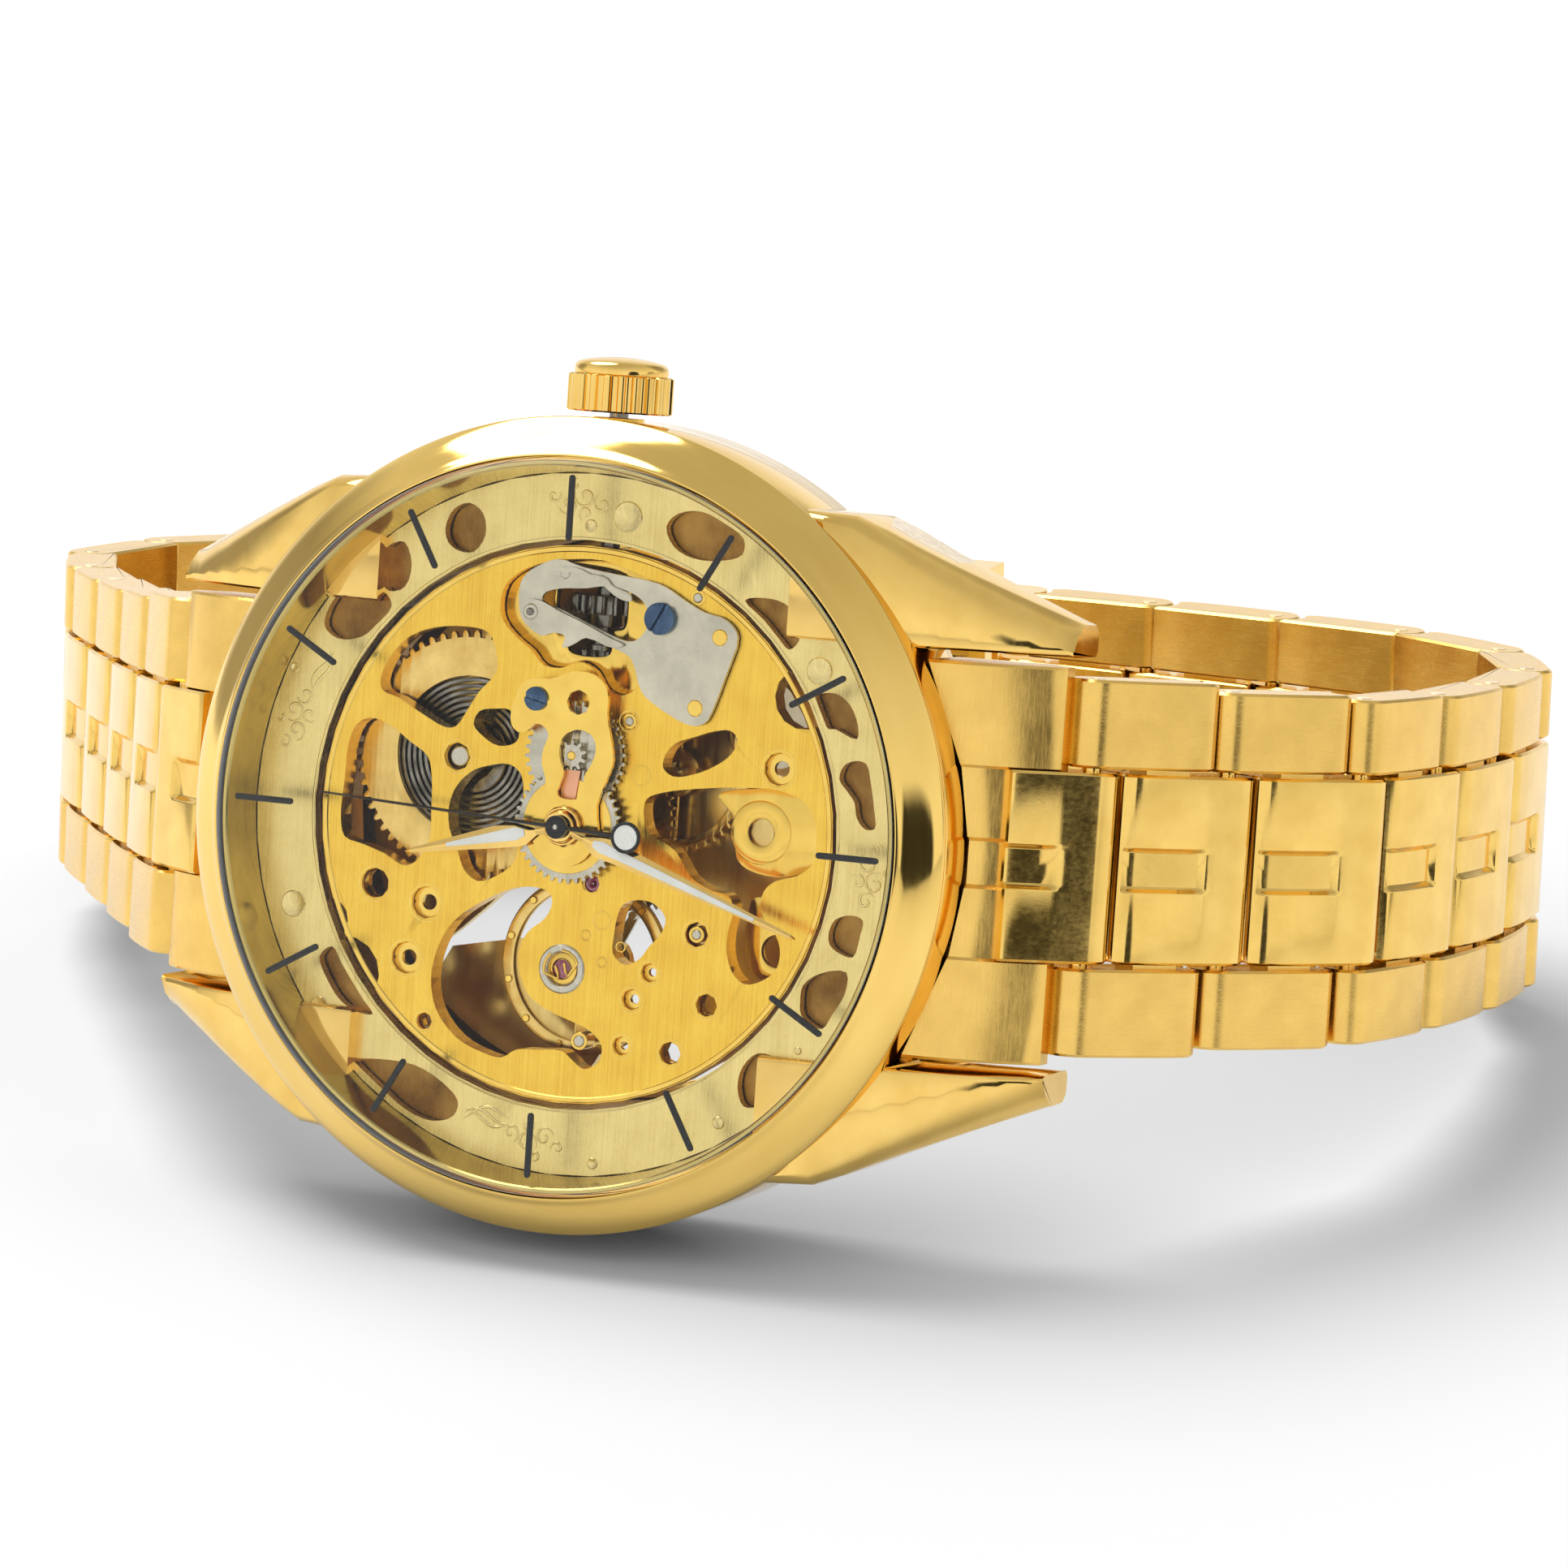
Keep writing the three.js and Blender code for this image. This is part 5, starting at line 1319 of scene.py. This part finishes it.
def make_ring_relief():
    cloud("cloud_three", 88, 16.55, 0)
    cloud("cloud_noon", 15, 16.5, 2)
    cloud("cloud_nine", 274, 16.3, 3)
    cloud("cloud_six", 184, 16.6, 0)
    beads = [(16.16, 97.3, 0.8), (15.43, 90.1, 0.33), (16.57, 340.3, 0.7), (17.49, 321.7, 0.55),
             (17.73, 22.5, 0.25), (15.95, 145.4, 0.7), (17.12, 237.2, 0.33), (17.45, 262.0, 0.3),
             (16.85, 217.5, 0.2)]
    for index, (radius, degrees, size) in enumerate(beads):
        bead = [(0, 0.2), (size, 0.2), (size, 0.27), (size - 0.05, 0.31), (size - 0.1, 0.3),
                (size - 0.16, 0.275), (0, 0.27)]
        hub_piece(f"ring_bead_{index + 1}", clock(radius, degrees), bead, RELIEF_GOLD, "case",
                  "champagne_gold", 48)
    lip = [(14.72, 0.2), (14.85, 0.2), (14.85, 0.28), (14.8, 0.3), (14.74, 0.28)]
    lathe_piece("ring_inner_lip", lip, RELIEF_GOLD, "case", "champagne_gold", segments=200)


dress_cad_nodes()
make_barrel()
make_train()
make_escapement()
make_balance()
make_motion_work()
make_winding()
make_plate_trim()
make_keyless_trim()
make_recess_floors()
make_shock_setting()
make_ring_relief()


# ---- stage, light and camera ----
def make_floor():
    mesh = bpy.data.meshes.new("floor")
    half = 4.0
    mesh.from_pydata([(-half, -half, 0), (half, -half, 0), (half, half, 0), (-half, half, 0)], [],
                     [(0, 1, 2, 3)])
    material = bpy.data.materials.new("paper_floor")
    material.use_nodes = True
    shader = material.node_tree.nodes["Principled BSDF"]
    shader.inputs["Base Color"].default_value = (0.93, 0.93, 0.93, 1)
    shader.inputs["Roughness"].default_value = 0.9
    shader.inputs["Specular IOR Level"].default_value = 0.1
    mesh.materials.append(material)
    floor = bpy.data.objects.new("floor", mesh)
    bpy.context.scene.collection.objects.link(floor)


def direction(azimuth, elevation):
    """Unit vector from the watch; azimuth 0 faces the dial side and grows towards +X."""
    a, e = math.radians(azimuth), math.radians(elevation)
    return Vector((math.sin(a) * math.cos(e), -math.cos(a) * math.cos(e), math.sin(e)))


def area_light(name, azimuth, elevation, distance, size, power):
    light = bpy.data.lights.new(name, "AREA")
    light.shape = "DISK"
    light.size = size
    light.energy = power
    lamp = bpy.data.objects.new(name, light)
    lamp.location = Vector((0, 0, 0.02)) + direction(azimuth, elevation) * distance
    lamp.rotation_euler = (-direction(azimuth, elevation)).to_track_quat("-Z", "Y").to_euler()
    bpy.context.scene.collection.objects.link(lamp)


# Dark cards round the set: azimuth, elevation, inner and outer half angle in degrees, darkness.
DARK_CARDS = [(53, 3, 11, 15, 0.96), (-100, 12, 10, 24, 0.6), (150, 20, 12, 30, 0.6), (100, 0, 8, 14, 0.6)]


def make_world():
    world = bpy.data.worlds.new("studio")
    bpy.context.scene.world = world
    world.use_nodes = True
    tree = world.node_tree
    background = tree.nodes["Background"]
    way = node(tree, "ShaderNodeTexCoord").outputs["Generated"]
    split = node(tree, "ShaderNodeSeparateXYZ")
    tree.links.new(way, split.inputs[0])
    value = remap(tree, split.outputs["Z"], 1.02, 0.55, 0.15, 0.9)
    for azimuth, elevation, inner, outer, darkness in DARK_CARDS:
        dot = node(tree, "ShaderNodeVectorMath", operation="DOT_PRODUCT")
        dot.inputs[1].default_value = direction(azimuth, elevation)
        tree.links.new(way, dot.inputs[0])
        fade = remap(tree, dot.outputs["Value"], 1.0, 1.0 - darkness, math.cos(math.radians(outer)),
                     math.cos(math.radians(inner)))
        value = math_node(tree, "MULTIPLY", value, fade)
    tree.links.new(value, background.inputs["Strength"])
    background.inputs["Color"].default_value = (1.0, 1.0, 1.0, 1)


def make_camera():
    """Camera at the view of a 138 mm lens, placed in the watch frame."""
    data = bpy.data.cameras.new("camera")
    data.lens = 137.86
    data.sensor_width = 36.0
    data.clip_start = 0.01
    camera = bpy.data.objects.new("camera", data)
    turn = WATCH.to_3x3().normalized()
    right = turn @ Vector((0.0679, -0.9234, -0.3779))
    up = turn @ Vector((0.9949, 0.0908, -0.0430))
    back = turn @ Vector((0.0740, -0.3731, 0.9249))
    pose = Matrix((right, up, back)).transposed().to_4x4()
    pose.translation = WATCH @ Vector((25.70, -125.07, 281.50))
    camera.matrix_world = pose
    bpy.context.scene.collection.objects.link(camera)
    bpy.context.scene.camera = camera


make_floor()
make_world()
area_light("key", -112, 62, 1.0, 0.7, 6.5)
make_camera()
bpy.context.scene.view_settings.view_transform = "Standard"
bpy.context.scene.cycles.caustics_reflective = False
